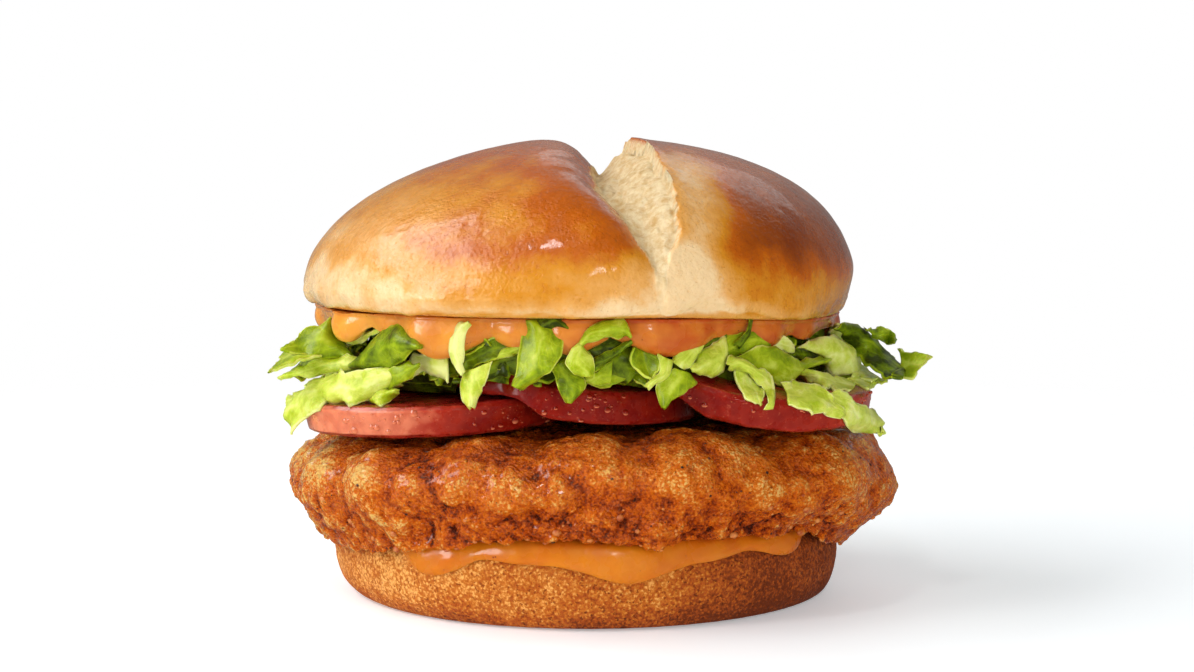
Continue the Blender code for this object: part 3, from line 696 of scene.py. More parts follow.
def bun_material():
    """Glazed crust, paler towards the rim, with fluffy crumb where the bun has torn."""
    look = bpy.context.scene.burger_bun
    material, tree, shader = new_material(
        "Bun crust and crumb", Coat_Roughness=0.11, Specular_IOR_Level=0.5,
        Specular_Tint=(1.0, 0.9, 0.72, 1.0), Subsurface_Weight=0.06, Subsurface_Scale=0.002,
        Subsurface_Radius=(1.0, 0.5, 0.2)
    )
    torn = painted(tree, "crumb")
    fleck = grain(tree, 0.7, 0.5)
    level = scaled(tree, fleck.outputs["Pits"], 0.05, painted(tree, "bake_light_and_shade"))
    level = math_node(tree, "ADD", level, scaled(tree, noise(tree, 1.3, 4.0, 0.7), 0.24, -0.12))
    crust = ramp(tree, level, (
        (0.0, look.pale),
        (0.2, look.light),
        (0.42, look.gold),
        (0.62, look.orange),
        (0.82, look.brown),
        (1.0, look.dark),
    ))
    crumb_tone = ramp(tree, noise(tree, 1.6, 4.0, 0.65), ((0.3, look.crumb_shade), (0.62, look.crumb)))
    fluff = math_node(tree, "ADD", noise(tree, 1.1, 5.0, 0.7), noise(tree, 4.0, 2.0))
    skin = scaled(tree, fleck.outputs["Height"], 0.6, noise(tree, 1.6, 4.0, 0.65))
    skin_normal = bump(tree, skin, 0.8, 0.24)
    crumb_normal = bump(tree, fluff, 0.7, 1.2)
    mixed = add(tree, "ShaderNodeMix", {0: torn, 4: skin_normal, 5: crumb_normal}, data_type="VECTOR")
    gloss = fitted(tree, noise(tree, 5.0, 3.0), 0.3, 0.7, 0.18, 0.3)
    roughness = math_node(tree, "MAXIMUM", gloss, math_node(tree, "MULTIPLY", torn, 0.9))
    pricked = fitted(tree, noise(tree, 0.9, 3.0, 0.6), 0.36, 0.6, look.glaze * 0.42, look.glaze)
    coat = math_node(tree, "MULTIPLY", math_node(tree, "SUBTRACT", 1.0, torn), pricked)
    join(tree, shader, Base_Color=blend(tree, torn, crust, crumb_tone), Roughness=roughness, Coat_Weight=coat,
         Normal=mixed.outputs[1])
    return material


def heel_material():
    """Dry, sandy crust with fine dark freckles, darker at its foot."""
    look = bpy.context.scene.burger_bun
    material, tree, shader = new_material("Heel crust", Specular_IOR_Level=0.2)
    sand = grain(tree, 0.6, 0.8)
    freckles = fitted(tree, noise(tree, 0.4, 4.0, 0.75), 0.36, 0.66, -0.14, 0.14)
    granules = fitted(tree, sand.outputs["Height"], 0.6, 1.2, 0.24, -0.16)
    freckles = math_node(tree, "ADD", freckles, granules)
    patches = fitted(tree, noise(tree, 3.0, 3.0, 0.6), 0.3, 0.7, -0.1, 0.1)
    level = math_node(tree, "ADD", math_node(tree, "ADD", painted(tree, "bake_light_and_shade"), patches), freckles)
    level = scaled(tree, sand.outputs["Pits"], 0.12, level)
    colour = ramp(tree, level, (
        (0.0, look.heel_light),
        (0.35, look.heel_gold),
        (0.65, look.heel_brown),
        (1.0, look.heel_dark),
    ))
    join(tree, shader, Base_Color=colour, Roughness=fitted(tree, noise(tree, 3.0), 0.3, 0.7, 0.62, 0.8),
         Normal=bump(tree, sand.outputs["Height"], 0.95, 0.36))
    return material


def fillet_material():
    """Fried crumb under a thin glaze: gold on the lumps, deep red-brown in the creases, with painted shade in
    the hollows and painted light on the left.
    """
    look = bpy.context.scene.burger_fillet
    material, tree, shader = new_material(
        "Fried crumb", Coat_Roughness=0.08, Specular_IOR_Level=0.6, Specular_Tint=(1.0, 0.82, 0.58, 1.0),
        Subsurface_Weight=0.05, Subsurface_Scale=0.002, Subsurface_Radius=(1.0, 0.35, 0.1)
    )
    sandy = grain(tree, 0.5, 0.7)
    freckles = fitted(tree, noise(tree, 0.6, 4.0, 0.7), 0.34, 0.68, -0.12, 0.1)
    patches = fitted(tree, noise(tree, 2.6, 3.0, 0.6), 0.3, 0.7, -0.12, 0.12)
    granules = fitted(tree, sandy.outputs["Height"], 0.6, 1.2, -0.17, 0.13)
    freckles = math_node(tree, "ADD", math_node(tree, "ADD", freckles, patches), granules)
    level = math_node(tree, "ADD", painted(tree, "fry_light_and_shade"), freckles)
    # The crease end of the ramp carries the painted shade of the hollows
    colour = ramp(tree, level, (
        (0.0, look.crease),
        (0.25, look.deep),
        (0.5, look.body),
        (0.75, look.gold),
        (1.0, look.cream),
    ))
    scorched = fitted(tree, noise(tree, 3.4, 4.0, 0.6), 0.60, 0.72)
    colour = blend(tree, math_node(tree, "MULTIPLY", scorched, 0.5), colour, look.deep[:])
    dots = fitted(tree, noise(tree, 0.7, 1.0), 0.70, 0.76)
    colour = blend(tree, math_node(tree, "MULTIPLY", dots, 0.65), colour, look.crease[:])
    height = scaled(tree, noise(tree, 1.5, 5.0, 0.7), 2.0, sandy.outputs["Height"])
    wet = fitted(tree, noise(tree, 2.2, 3.0, 0.6), 0.35, 0.65, 0.1, 0.3)
    coat = fitted(tree, noise(tree, 1.4, 3.0, 0.6), 0.5, 0.6, 0.04, look.glaze)
    join(tree, shader, Base_Color=colour, Roughness=wet, Coat_Weight=coat,
         Normal=bump(tree, height, 1.0, 0.55))
    return material


def tomato_material(name):
    """Tight wet skin round the wall, grainy flesh with paler veins on the cut faces."""
    look = bpy.context.scene.burger_garden
    material, tree, shader = new_material(
        name, Coat_Weight=0.4, Coat_Roughness=0.1, Specular_IOR_Level=0.3, Subsurface_Weight=0.2,
        Subsurface_Scale=0.003, Subsurface_Radius=(1.0, 0.25, 0.12)
    )
    mottle = fitted(tree, noise(tree, 2.2, 3.0), 0.3, 0.7, -0.1, 0.1)
    fleck = math_node(tree, "ADD", painted(tree, "blush"), mottle)
    skin = ramp(tree, fleck, ((0.0, look.skin), (0.45, look.skin_light), (1.0, look.blush)))
    fibres = noise(tree, 3.6, 4.0, 0.65)
    flesh = ramp(tree, fibres, ((0.3, look.gel), (0.5, look.flesh), (0.75, look.flesh_pale)))
    speckle = fitted(tree, noise(tree, 0.45, 2.0), 0.62, 0.74, 0.0, 0.3)
    skin = blend(tree, speckle, skin, look.blush[:])
    height = math_node(tree, "ADD", noise(tree, 1.2, 3.0, 0.6), noise(tree, 0.4, 2.0))
    cut = math_node(tree, "SUBTRACT", 1.0, painted(tree, "skin"))
    pulp = math_node(tree, "MULTIPLY", height, scaled(tree, cut, 0.9, 0.1))
    join(tree, shader, Base_Color=blend(tree, painted(tree, "skin"), flesh, skin),
         Roughness=fitted(tree, noise(tree, 1.8, 3.0), 0.3, 0.7, 0.22, 0.4),
         Normal=bump(tree, pulp, 0.35, 0.35))
    return material


def leaf_material():
    """Crisp leaf: paler along its ribs and cut edges, crinkled between its veins."""
    look = bpy.context.scene.burger_garden
    material, tree, shader = new_material(
        "Lettuce leaf", Coat_Weight=0.16, Coat_Roughness=0.2, Specular_IOR_Level=0.25,
        Subsurface_Weight=0.25, Subsurface_Scale=0.0015, Subsurface_Radius=(0.5, 1.0, 0.15)
    )
    place = add(tree, "ShaderNodeSeparateXYZ", {0: add(tree, "ShaderNodeUVMap", uv_map="leaf").outputs[0]})
    along, across = place.outputs[0], place.outputs[1]
    wander = fitted(tree, noise(tree, 4.0, 2.0), 0.2, 0.8, -0.14, 0.14)
    off_middle = math_node(tree, "SUBTRACT", across, 0.5)
    off_rib = math_node(tree, "ABSOLUTE", math_node(tree, "ADD", off_middle, wander))
    rib = fitted(tree, off_rib, 0.0, 0.13, 0.6, 0.0)
    slant = math_node(tree, "SUBTRACT", along, math_node(tree, "MULTIPLY", off_rib, 1.3))
    stripe = math_node(tree, "PINGPONG", slant, 0.2)
    veins = fitted(tree, stripe, 0.0, 0.05, 0.35, 0.0)
    net = add(tree, "ShaderNodeTexVoronoi",
              {"Vector": add(tree, "ShaderNodeTexCoord").outputs["Object"], "Scale": 620.0},
              feature="DISTANCE_TO_EDGE")
    fine = fitted(tree, net.outputs["Distance"], 0.0, 0.09, 0.28, 0.0)
    pale = math_node(tree, "MAXIMUM", math_node(tree, "MAXIMUM", rib, veins), fine)
    edge = fitted(tree, math_node(tree, "ABSOLUTE", off_middle), 0.44, 0.49)
    mottle = fitted(tree, noise(tree, 3.6, 4.0, 0.6), 0.25, 0.75, -0.2, 0.2)
    # The painted tone carries painted shade as well as the leaf's own green
    tone_and_shade = math_node(tree, "ADD", painted(tree, "tone_and_shade"), mottle)
    tone_and_shade = math_node(tree, "SUBTRACT", tone_and_shade, math_node(tree, "MULTIPLY", pale, 0.22))
    tone_and_shade = math_node(tree, "SUBTRACT", tone_and_shade, math_node(tree, "MULTIPLY", edge, 0.34), True)
    colour = ramp(tree, tone_and_shade, (
        (0.0, look.leaf_rib),
        (0.25, look.leaf_pale),
        (0.5, look.leaf_mid),
        (0.75, look.leaf_green),
        (1.0, look.leaf_dark_and_shade),
    ))
    height = math_node(tree, "SUBTRACT", noise(tree, 2.0, 4.0, 0.6), math_node(tree, "MULTIPLY", pale, 0.4))
    join(tree, shader, Base_Color=colour, Roughness=fitted(tree, noise(tree, 3.0), 0.3, 0.7, 0.3, 0.5),
         Normal=bump(tree, height, 0.5, 0.5))
    return material


def sauce_material(name, light, deep):
    """Smooth creamy sauce, deeper in colour where its painted number lays painted shade."""
    material, tree, shader = new_material(
        name, Coat_Weight=0.5, Coat_Roughness=0.07, Subsurface_Weight=0.2, Subsurface_Scale=0.003,
        Subsurface_Radius=(1.0, 0.5, 0.2)
    )
    clouds = fitted(tree, noise(tree, 5.0, 3.0), 0.25, 0.75, -0.25, 0.25)
    tone_and_shade = math_node(tree, "ADD", painted(tree, "depth"), clouds)
    colour = ramp(tree, tone_and_shade, ((0.0, light), (1.0, deep)))
    join(tree, shader, Base_Color=colour,
         Roughness=fitted(tree, noise(tree, 4.0, 2.0), 0.3, 0.7, 0.2, 0.36),
         Normal=bump(tree, noise(tree, 2.6, 3.0, 0.55), 0.35, 0.5))
    return material


def bit_material(name, dark, light, rough):
    """Small loose bits, each a little different."""
    material, tree, shader = new_material(name, Coat_Weight=0.3, Coat_Roughness=0.25)
    colour = ramp(tree, noise(tree, 1.6, 3.0, 0.6), ((0.35, dark), (0.65, light)))
    join(tree, shader, Base_Color=colour,
         Roughness=fitted(tree, noise(tree, 0.8), 0.3, 0.7, rough - 0.1, rough + 0.1),
         Normal=bump(tree, noise(tree, 0.35, 3.0), 0.6, 0.15))
    return material


def water_material():
    """Clear drops, painted opaque: a painted glow on their lower side stands in for the light they gather
    from the skin under them, and a painted darker top for their shaded rim.
    """
    look = bpy.context.scene.burger_garden
    material, tree, shader = new_material("Clear drops", Coat_Weight=1.0, Coat_Roughness=0.02)
    normal = add(tree, "ShaderNodeNewGeometry").outputs["Normal"]
    up = add(tree, "ShaderNodeSeparateXYZ", {0: normal}).outputs[2]
    skin = ramp(tree, painted(tree, "blush"), ((0.0, look.skin), (0.45, look.skin_light), (1.0, look.blush)))
    # Painted light: a glow on the lower side of each drop, and painted shade towards the gel's dark red on
    # top
    painted_glow = blend(tree, fitted(tree, up, 0.1, -0.7), skin, look.blush[:])
    join(tree, shader, Base_Color=blend(tree, fitted(tree, up, 0.2, 0.8, 0.0, 0.35), painted_glow, look.gel[:]),
         Roughness=fitted(tree, noise(tree, 1.5), 0.3, 0.7, 0.03, 0.08))
    return material


# Crown

def tear_at(points):
    """How far right of the tear's left edge each point is, and the tear's width and depth there."""
    over = np.degrees(np.arctan2(points[:, 2] - CROWN_CUT_Z, -points[:, 1]))
    over = np.where(over < -90, over + 360, over)
    stations = np.array(TEAR)
    left, right, deep = (np.interp(over, stations[:, 0], stations[:, k]) for k in (1, 2, 3))
    jag = ease(6.0, 20.0, over)
    left = left + 0.5 * soft_noise(points * (0.1, 1, 1), 3.2, 5) * jag
    right = right + (0.15 + 0.75 * jag) * rough_noise(points * (0.1, 1, 1), 3.6, 3, 8)
    inside = (over > -2) & (over < 160)
    return points[:, 0] - left, np.maximum(right - left, 0.3), np.where(inside, deep, 0.0)


def crown_rings():
    """The whole skin of the crown before it tears, row by row from the middle of its underside."""
    spread = np.linspace(-np.pi, np.pi, CROWN_COLUMNS, endpoint=False)
    turn = spread - 0.34 * np.sin(spread)
    rows = [(4.0, 0.0), (22.0, 0.0), (38.0, 0.0), (47.0, 0.0)]
    rows += [tuple(p) for p in through([(50.4, 0.0), (52.5, 0.1), (54.0, 1.0), (CROWN_R, 3.1)], 13)[:-1]]
    rings = []
    for radius, rise in rows:
        x, y = around(radius, turn)
        rings.append(np.stack([CROWN_X + x, y, CROWN_CUT_Z + rise - droop(x)], -1))
    fuller = ease(-30, 25, CROWN_R * np.sin(turn))
    round_by = CROWN_ROUND_LEFT + (CROWN_ROUND_RIGHT - CROWN_ROUND_LEFT) * fuller
    for level in np.linspace(0, 0.985, CROWN_ROWS):
        t = np.pi / 2 * level
        radius = CROWN_R * np.cos(t) ** (2 / round_by)
        z = CROWN_WAIST_Z + (CROWN_TOP_Z - CROWN_WAIST_Z) * np.sin(t) ** (2 / round_by)
        x, y = around(radius, turn)
        rings.append(np.stack([CROWN_X + x, y, z - droop(x) * np.cos(t) ** 4], -1))
    rings = np.array(rings)
    x = rings[..., 0]
    rise = rings[..., 2] - CROWN_CUT_Z + droop(x)
    rings[..., 0] = x - CROWN_TUCK * ease(30, 54, x) * ease(11, 0, rise)
    return rings


def tear_open(piece):
    """Bends the skin into the tear, roughens what opens, and notes how each place is baked, with painted
    light and shade in the same number.
    """
    points, normals = read_points(piece), read_normals(piece)
    x, z = points[:, 0], points[:, 2]
    front = ease(12.0, -8.0, points[:, 1])
    off, width, deep = tear_at(points)
    past = off - width

    # The skin bends softly into the tear from the left, up to its torn right wall
    lip = 0.74 * np.exp(-((np.maximum(-off, 0) / 3.4) ** 1.2))
    floor = 0.8 + 0.2 * ease(0.0, 1.4, off) - 0.64 * ease(0.2, 0.95, off / width)
    sink = np.where(off < 0, lip, np.where(past < 0, floor, 0.0))
    sink = sink * ease(0.35, -0.15, past)
    crumb = ease(-0.25, 0.2, off) * ease(0.35, 0.1, past) * ease(0.6, 1.4, deep)
    fluff = rough_noise(points, 4.0, 3, 21) * 0.9 + lumps(points, 2.6, 4) * 0.7 - 0.5
    raised = 0.2 * bell(past, 1.3, 1.6) * ease(2.5, 5.0, deep)

    # The skin sways a little, with fine scratches down its front and a wavy rim
    rise = z + droop(x) - CROWN_CUT_Z
    sway = 0.32 * rough_noise(points, 26.0, 2, 2) + 0.05 * rough_noise(points, 3.0, 2, 6)
    scratch = soft_noise(points * (1, 1, 0.24), 1.5, 31)
    scratched = front * bell(z, 70.0, 5.5) * ease(-24, -14, x) * ease(9, 3, x)
    sway = sway - 0.22 * np.maximum(scratch - 0.25, 0) * scratched
    rim = ease(6.0, 0.0, rise)
    sway = sway + 1.2 * rim * rough_noise(points, 7.0, 2, 12)
    under = ease(-0.3, -0.9, normals[:, 2]) * ease(CROWN_CUT_Z + 1, CROWN_CUT_Z, z + droop(x))
    move = np.where(under > 0.5, 0.0, -sink * deep + fluff * crumb + raised + sway * (1 - crumb))

    # It is baked from a pale rim to a brown top and paler beside the tear. Painted light and shade go into
    # the same number: paler on the left and under the sheen, a painted highlight, and darker towards the
    # right, painted shade.
    streaks = 1.5 * rough_noise(points * (1, 1, 0.14), 3.6, 2, 17)
    height = rise + streaks + 1.3 * rough_noise(points, 9.0, 3, 14)
    # Painted light and shade: paler towards the left and darker towards the right, as the lamps come from the
    # left
    height = height + 2.0 * ease(28, 50, x) - 1.2 * ease(-25, -50, x)
    # Painted highlight: paler still on the left, where the sheen falls
    paler = 4.8 * ease(-18, -44, x)
    bake_light_and_shade = 0.12 + 0.28 * ease(0.5, 5.0, height - paler) + 0.26 * ease(6.0, 13.0, height - paler)
    # Painted shade: a darker band on the right side
    bake_light_and_shade += 0.24 * ease(19, 32, x) * ease(10, 15, height) * ease(28, 21, height)
    # More painted shade on the right, and painted light low on the left
    bake_light_and_shade += 0.03 * ease(19, 30, x) - 0.08 * ease(-20, -46, x) * ease(26, 16, height)
    bake_light_and_shade -= 0.56 * bell(past, 4.0, 6.5) * (past > -0.5) * (deep > 0) * ease(33, 24, rise)
    # Painted light high on the left, and a painted highlight under the sheen on the front
    bake_light_and_shade -= 0.1 * ease(-2, -20, x) * ease(15, 22, rise)
    bake_light_and_shade -= 0.15 * ease(-3, -14, x) * ease(11, 16, rise) * ease(27, 20, rise) * front
    bake_light_and_shade -= 0.34 * bell(x, 13.6, 8.0) * ease(16, 8, rise) * front
    bake_light_and_shade += 0.08 * rough_noise(points, 5.0, 3, 44)
    bake_light_and_shade += 0.07 * rough_noise(points, 11.0, 2, 47) * ease(12, 20, rise)
    bake_light_and_shade += 0.3 * ease(1.1, 0.3, rise + 0.4 * soft_noise(points, 3.0, 9)) * (under < 0.5)
    bake_light_and_shade = np.where(under > 0.5, 0.3, bake_light_and_shade)
    push_out(piece, points, normals, move)
    paint(piece, "bake_light_and_shade", np.clip(bake_light_and_shade, 0, 1))
    paint(piece, "crumb", crumb)


def hollows(piece, points, rounds):
    """How far each point lies below its surroundings in millimetres, less than 0 on a ridge."""
    ends = np.empty(len(piece.data.edges) * 2, np.int32)
    piece.data.edges.foreach_get("vertices", ends)
    a, b = ends.reshape(-1, 2).T
    size = len(points)
    count = np.maximum(np.bincount(a, minlength=size) + np.bincount(b, minlength=size), 1)
    mean = points.copy()
    for _ in range(rounds):
        total = [np.bincount(a, mean[b, k], size) + np.bincount(b, mean[a, k], size) for k in range(3)]
        mean = 0.4 * mean + 0.6 * np.stack(total, -1) / count[:, None]
    return ((mean - points) * read_normals(piece)).sum(1)


# Leaves

def seen_on(x, y, radius):
    """Where a pixel of the photo lies on an upright cylinder: turn, height and distance from its axis.

    The distance is more than the radius where the pixel is past the cylinder's edge.
    """
    down = math.radians(LOOK_DOWN)
    across = (x - PICTURE_MIDDLE) / PICTURE_LENS
    up = (PICTURE_HEIGHT / 2 - y) / PICTURE_LENS
    ahead = math.cos(down) + up * math.sin(down)
    rise = up * math.cos(down) - math.sin(down)
    depth = -radius
    for _ in range(12):
        far = (depth - EYE[1]) / ahead
        depth = -math.sqrt(max(radius**2 - (far * across) ** 2, (EDGE_ON * radius) ** 2))
    far = (depth - EYE[1]) / ahead
    side = far * across
    return math.degrees(math.atan2(side, -depth)), EYE[2] + far * rise, math.hypot(side, depth)


def edge_on_burger(close_up, edge, root, tip):
    """The places on the burger of an edge's points, whose radii run evenly from root to tip."""
    left, top, enlarged = CLOSE_UPS[close_up]
    radii = [root + (tip - root) * k / (len(edge) - 1) for k in range(len(edge))]
    places = [seen_on(left + x / enlarged, top + y / enlarged, r) for (x, y), r in zip(edge, radii)]
    gaps = [(away - r, k) for k, ((_, _, away), r) in enumerate(zip(places, radii))]
    return [(round(turn, 1), round(height, 1)) for turn, height, _ in places], gaps


def placed_leaf(close_up, root, tip, bow, ruffle, tone_and_shade, edge_a, edge_b):
    """A leaf's edges on the burger, on radii just wide enough, and the rest of its values."""
    while True:
        a, gaps_a = edge_on_burger(close_up, edge_a, root, tip)
        b, gaps_b = edge_on_burger(close_up, edge_b, root, tip)
        gap, place = max(gaps_a + gaps_b, key=lambda item: item[0])
        if gap <= LEAF_MISS:
            return a, b, root, tip, bow, ruffle, tone_and_shade
        if place == 0:
            root += LEAF_STEP
        else:
            tip += LEAF_STEP


def leaf_grid(edge_a, edge_b, root, tip, bow, ruffle, seed):
    """A wavy leaf between two edges, as rows of points from its root to its tip."""
    a, b = through(edge_a, LEAF_ROWS), through(edge_b, LEAF_ROWS)
    s = np.linspace(0, 1, LEAF_ROWS)[:, None]
    t = np.linspace(0, 1, LEAF_COLUMNS)[None, :]
    turn = np.radians(a[:, :1] * (1 - t) + b[:, :1] * t)
    z = a[:, 1:] * (1 - t) + b[:, 1:] * t
    radius = root + (tip - root) * s + bow * np.sin(np.pi * t)
    x, y = around(radius, turn)
    place = np.stack([x, y, z], -1)
    side = np.abs(2 * t - 1) ** 2
    wave = soft_noise(place, 3.4, seed) * (0.6 + side) + 0.7 * soft_noise(place, 1.6, seed + 7) * side
    radius = radius + ruffle * 2.0 * wave
    z = z + 0.7 * rough_noise(place, 1.9, 2, seed + 3) * side
    x, y = around(radius, turn)
    return np.stack([x, y, z], -1)


def brought_forward(grid, trees, eye):
    """Drapes a leaf over what would hide it from the eye, and lets the rest follow softly."""
    rays = grid - eye
    far = np.linalg.norm(rays, axis=-1)
    need = np.zeros(far.shape)
    for index in np.ndindex(far.shape):
        way = Vector(rays[index]) / far[index]
        for tree in trees:
            hit = tree.ray_cast(Vector(eye * MM), way, (far[index] + 0.6) * MM)
            if hit[3]:
                need[index] = max(need[index], far[index] - hit[3] / MM + LEAF_CLEARANCE)
    if not need.any():
        return grid
    need = np.minimum(need, LEAF_PUSH)
    shift = need.copy()
    for _ in range(60):
        padded = np.pad(shift, 1, mode="edge")
        mean = (padded[:-2, 1:-1] + padded[2:, 1:-1] + padded[1:-1, :-2] + padded[1:-1, 2:]) / 4
        shift = np.maximum(need, mean)
    return grid - rays / far[..., None] * shift[..., None]


def leaf_solid(grid):
    """The points and faces of a thin closed leaf round a grid of points."""
    rows, columns = grid.shape[:2]
    along = np.gradient(grid, axis=0)
    across = np.gradient(grid, axis=1)
    normal = np.cross(along, across)
    normal /= np.maximum(np.linalg.norm(normal, axis=-1, keepdims=True), 1e-9)
    half = LEAF_THICK / 2
    points = np.concatenate([(grid + normal * half).reshape(-1, 3), (grid - normal * half).reshape(-1, 3)])
    front = grid_faces(rows, columns, False)
    back = front[:, ::-1] + rows * columns
    index = np.arange(rows * columns).reshape(rows, columns)
    rim = np.concatenate([index[0, :], index[1:, -1], index[-1, -2::-1], index[-2:0:-1, 0]])
    after = np.roll(rim, -1)
    walls = np.stack([rim, rim + rows * columns, after + rows * columns, after], -1)
    return points, np.concatenate([front, back, walls])


def front_leaves(shown):
    """The grid and tone of each leaf that shows, clear of the slices."""
    trees = [solid_tree(node) for node in SLICES]
    leaves = []
    for k, (a, b, root, tip, bow, ruffle, tone_and_shade) in enumerate(shown):
        grid = leaf_grid(a, b, root, tip, bow, ruffle, 10 * k)
        leaves.append((brought_forward(grid, trees, np.array(EYE)), tone_and_shade))
    return leaves


def drawn_leaf(shown, rng):
    """The two edges of a leaf drawn from those that show, the middle of its turns, and its rest."""
    a, b, *rest = shown[int(rng.integers(len(shown)))]
    a, b = np.array(a), np.array(b)
    return a, b, (a[:, 0].mean() + b[:, 0].mean()) / 2, rest


def inner_leaves(shown, rng):
    """Greener, darker leaves that fill the gaps behind those that show, their darkness painted shade."""
    leaves = []
    for k in range(INNER_LEAVES):
        a, b, middle, (_, _, bow, _, _) = drawn_leaf(shown, rng)
        low, high = min(a[:, 1].min(), b[:, 1].min()), max(a[:, 1].max(), b[:, 1].max())
        turn = -78 + 156 * (k + rng.uniform(0, 1)) / INNER_LEAVES
        for edge in (a, b):
            edge[:, 0] = turn + rng.uniform(0.8, 1.3) * (edge[:, 0] - middle)
            share = (edge[:, 1] - low) / (high - low)
            edge[:, 1] = INNER_LOW + (INNER_HIGH - INNER_LOW) * share + rng.uniform(-1, 0.4)
        grid = leaf_grid(a, b, 44.0, 46.4, bow, 0.7, 500 + 10 * k)
        # Their dark tones are painted shade, behind the leaves that show
        leaves.append((grid, rng.uniform(0.72, 1.0)))
    return leaves


def back_leaves(shown, rng):
    """Leaves like those that show, round the back."""
    leaves = []
    for k in range(BACK_LEAVES):
        a, b, middle, (root, tip, bow, ruffle, tone_and_shade) = drawn_leaf(shown, rng)
        top = max(a[:, 1].max(), b[:, 1].max())
        turn = BACK_FROM + (BACK_TO - BACK_FROM) * (k + rng.uniform(0.1, 0.9)) / BACK_LEAVES
        flip = rng.choice((-1, 1))
        grow = rng.uniform(1.0, 1.5)
        drop = rng.uniform(0.0, 5.5)
        for edge in (a, b):
            edge[:, 0] = turn + flip * grow * (edge[:, 0] - middle)
            edge[:, 1] = np.maximum(53.0 - drop + (edge[:, 1] - top) * grow, BACK_LOWEST + rng.uniform(0, 2))
        out = rng.uniform(-1.0, 3.0)
        grid = leaf_grid(a, b, 47.5 + out, 49.0 + out + min(tip - root, 7.0), bow, ruffle, 900 + 10 * k)
        leaves.append((grid, float(np.clip(tone_and_shade + rng.uniform(-0.15, 0.15), 0, 1))))
    return leaves


# Loose bits

def strewing_tree():
    """Geometry nodes that strew small bits where the surface's painted number lets them lie."""
    old = bpy.data.node_groups.get("Strewn bits")
    if old:
        return old
    tree = bpy.data.node_groups.new("Strewn bits", "GeometryNodeTree")
    tree.is_modifier = True
    tree.interface.new_socket("Geometry", in_out="INPUT", socket_type="NodeSocketGeometry")
    for name, kind in (
        ("Most per square metre", "NodeSocketFloat"),
        ("Smallest", "NodeSocketFloat"),
        ("Largest", "NodeSocketFloat"),
        ("Flatness", "NodeSocketFloat"),
        ("Roundness", "NodeSocketInt"),
        ("Seed", "NodeSocketInt"),
        ("Material", "NodeSocketMaterial"),
    ):
        tree.interface.new_socket(name, in_out="INPUT", socket_type=kind)
    tree.interface.new_socket("Geometry", in_out="OUTPUT", socket_type="NodeSocketGeometry")
    start, end = add(tree, "NodeGroupInput"), add(tree, "NodeGroupOutput")
    given = start.outputs
    where = add(tree, "GeometryNodeInputNamedAttribute", {"Name": "strew"}, data_type="FLOAT").outputs[0]
    density = math_node(tree, "MULTIPLY", where, given["Most per square metre"])
    spots = add(tree, "GeometryNodeDistributePointsOnFaces",
                {"Mesh": given["Geometry"], "Density": density, "Seed": given["Seed"]})
    bit = add(tree, "GeometryNodeMeshIcoSphere", {"Radius": 1.0, "Subdivisions": given["Roundness"]})
    smooth = add(tree, "GeometryNodeSetShadeSmooth", {0: bit.outputs["Mesh"]})
    draw = {2: 0.0, 3: 1.0, "Seed": given["Seed"]}
    pick = add(tree, "FunctionNodeRandomValue", draw, data_type="FLOAT").outputs[1]
    rare = math_node(tree, "POWER", pick, 2.6)
    span = math_node(tree, "SUBTRACT", given["Largest"], given["Smallest"])
    size = math_node(tree, "ADD", given["Smallest"], math_node(tree, "MULTIPLY", rare, span))
    squeeze = add(tree, "FunctionNodeRandomValue", {2: 0.65, 3: 1.0, "Seed": 5}, data_type="FLOAT").outputs[1]
    shape = add(tree, "ShaderNodeCombineXYZ", {
        0: size,
        1: math_node(tree, "MULTIPLY", size, squeeze),
        2: math_node(tree, "MULTIPLY", size, given["Flatness"]),
    })
    placed = add(tree, "GeometryNodeInstanceOnPoints", {
        "Points": spots.outputs["Points"],
        "Instance": smooth.outputs[0],
        "Rotation": spots.outputs["Rotation"],
        "Scale": shape.outputs[0],
    })
    real = add(tree, "GeometryNodeRealizeInstances", {0: placed.outputs[0]})
    done = add(tree, "GeometryNodeSetMaterial", {0: real.outputs[0], "Material": given["Material"]})
    tree.links.new(done.outputs[0], end.inputs[0])
    return tree


def strewn(name, carrier, where, material, slot, **values):
    """Strews a carrier with bits as thickly as each vertex's number says, as one piece."""
    paint(carrier, "strew", where)
    tree = strewing_tree()
    source = bpy.data.objects.new(name + "_source", carrier.data)
    bpy.context.scene.collection.objects.link(source)
    bits = source.modifiers.new("bits", "NODES")
    bits.node_group = tree
    sockets = {item.name: item.identifier for item in tree.interface.items_tree if item.in_out == "INPUT"}
    for key, value in values.items():
        bits[sockets[key.replace("_", " ")]] = value
    bits[sockets["Material"]] = material
    piece = plain_copy(source, name)
    bpy.data.objects.remove(source)
    if not len(piece.data.polygons):
        raise RuntimeError(name + " has no bits on it")
    finish(piece, slot, material)


# What a user may change

def colour_property(name, about, red, green, blue):
    """A colour, with its value given from 0 to 255."""
    return FloatVectorProperty(name=name, description=about, subtype="COLOR", size=3, min=0.0, max=1.0,
                               default=tint(red, green, blue))


def power_property(name, about, watts):
    """The power of a lamp."""
    return FloatProperty(name=name, description=about, default=watts, min=0.0, unit="POWER")


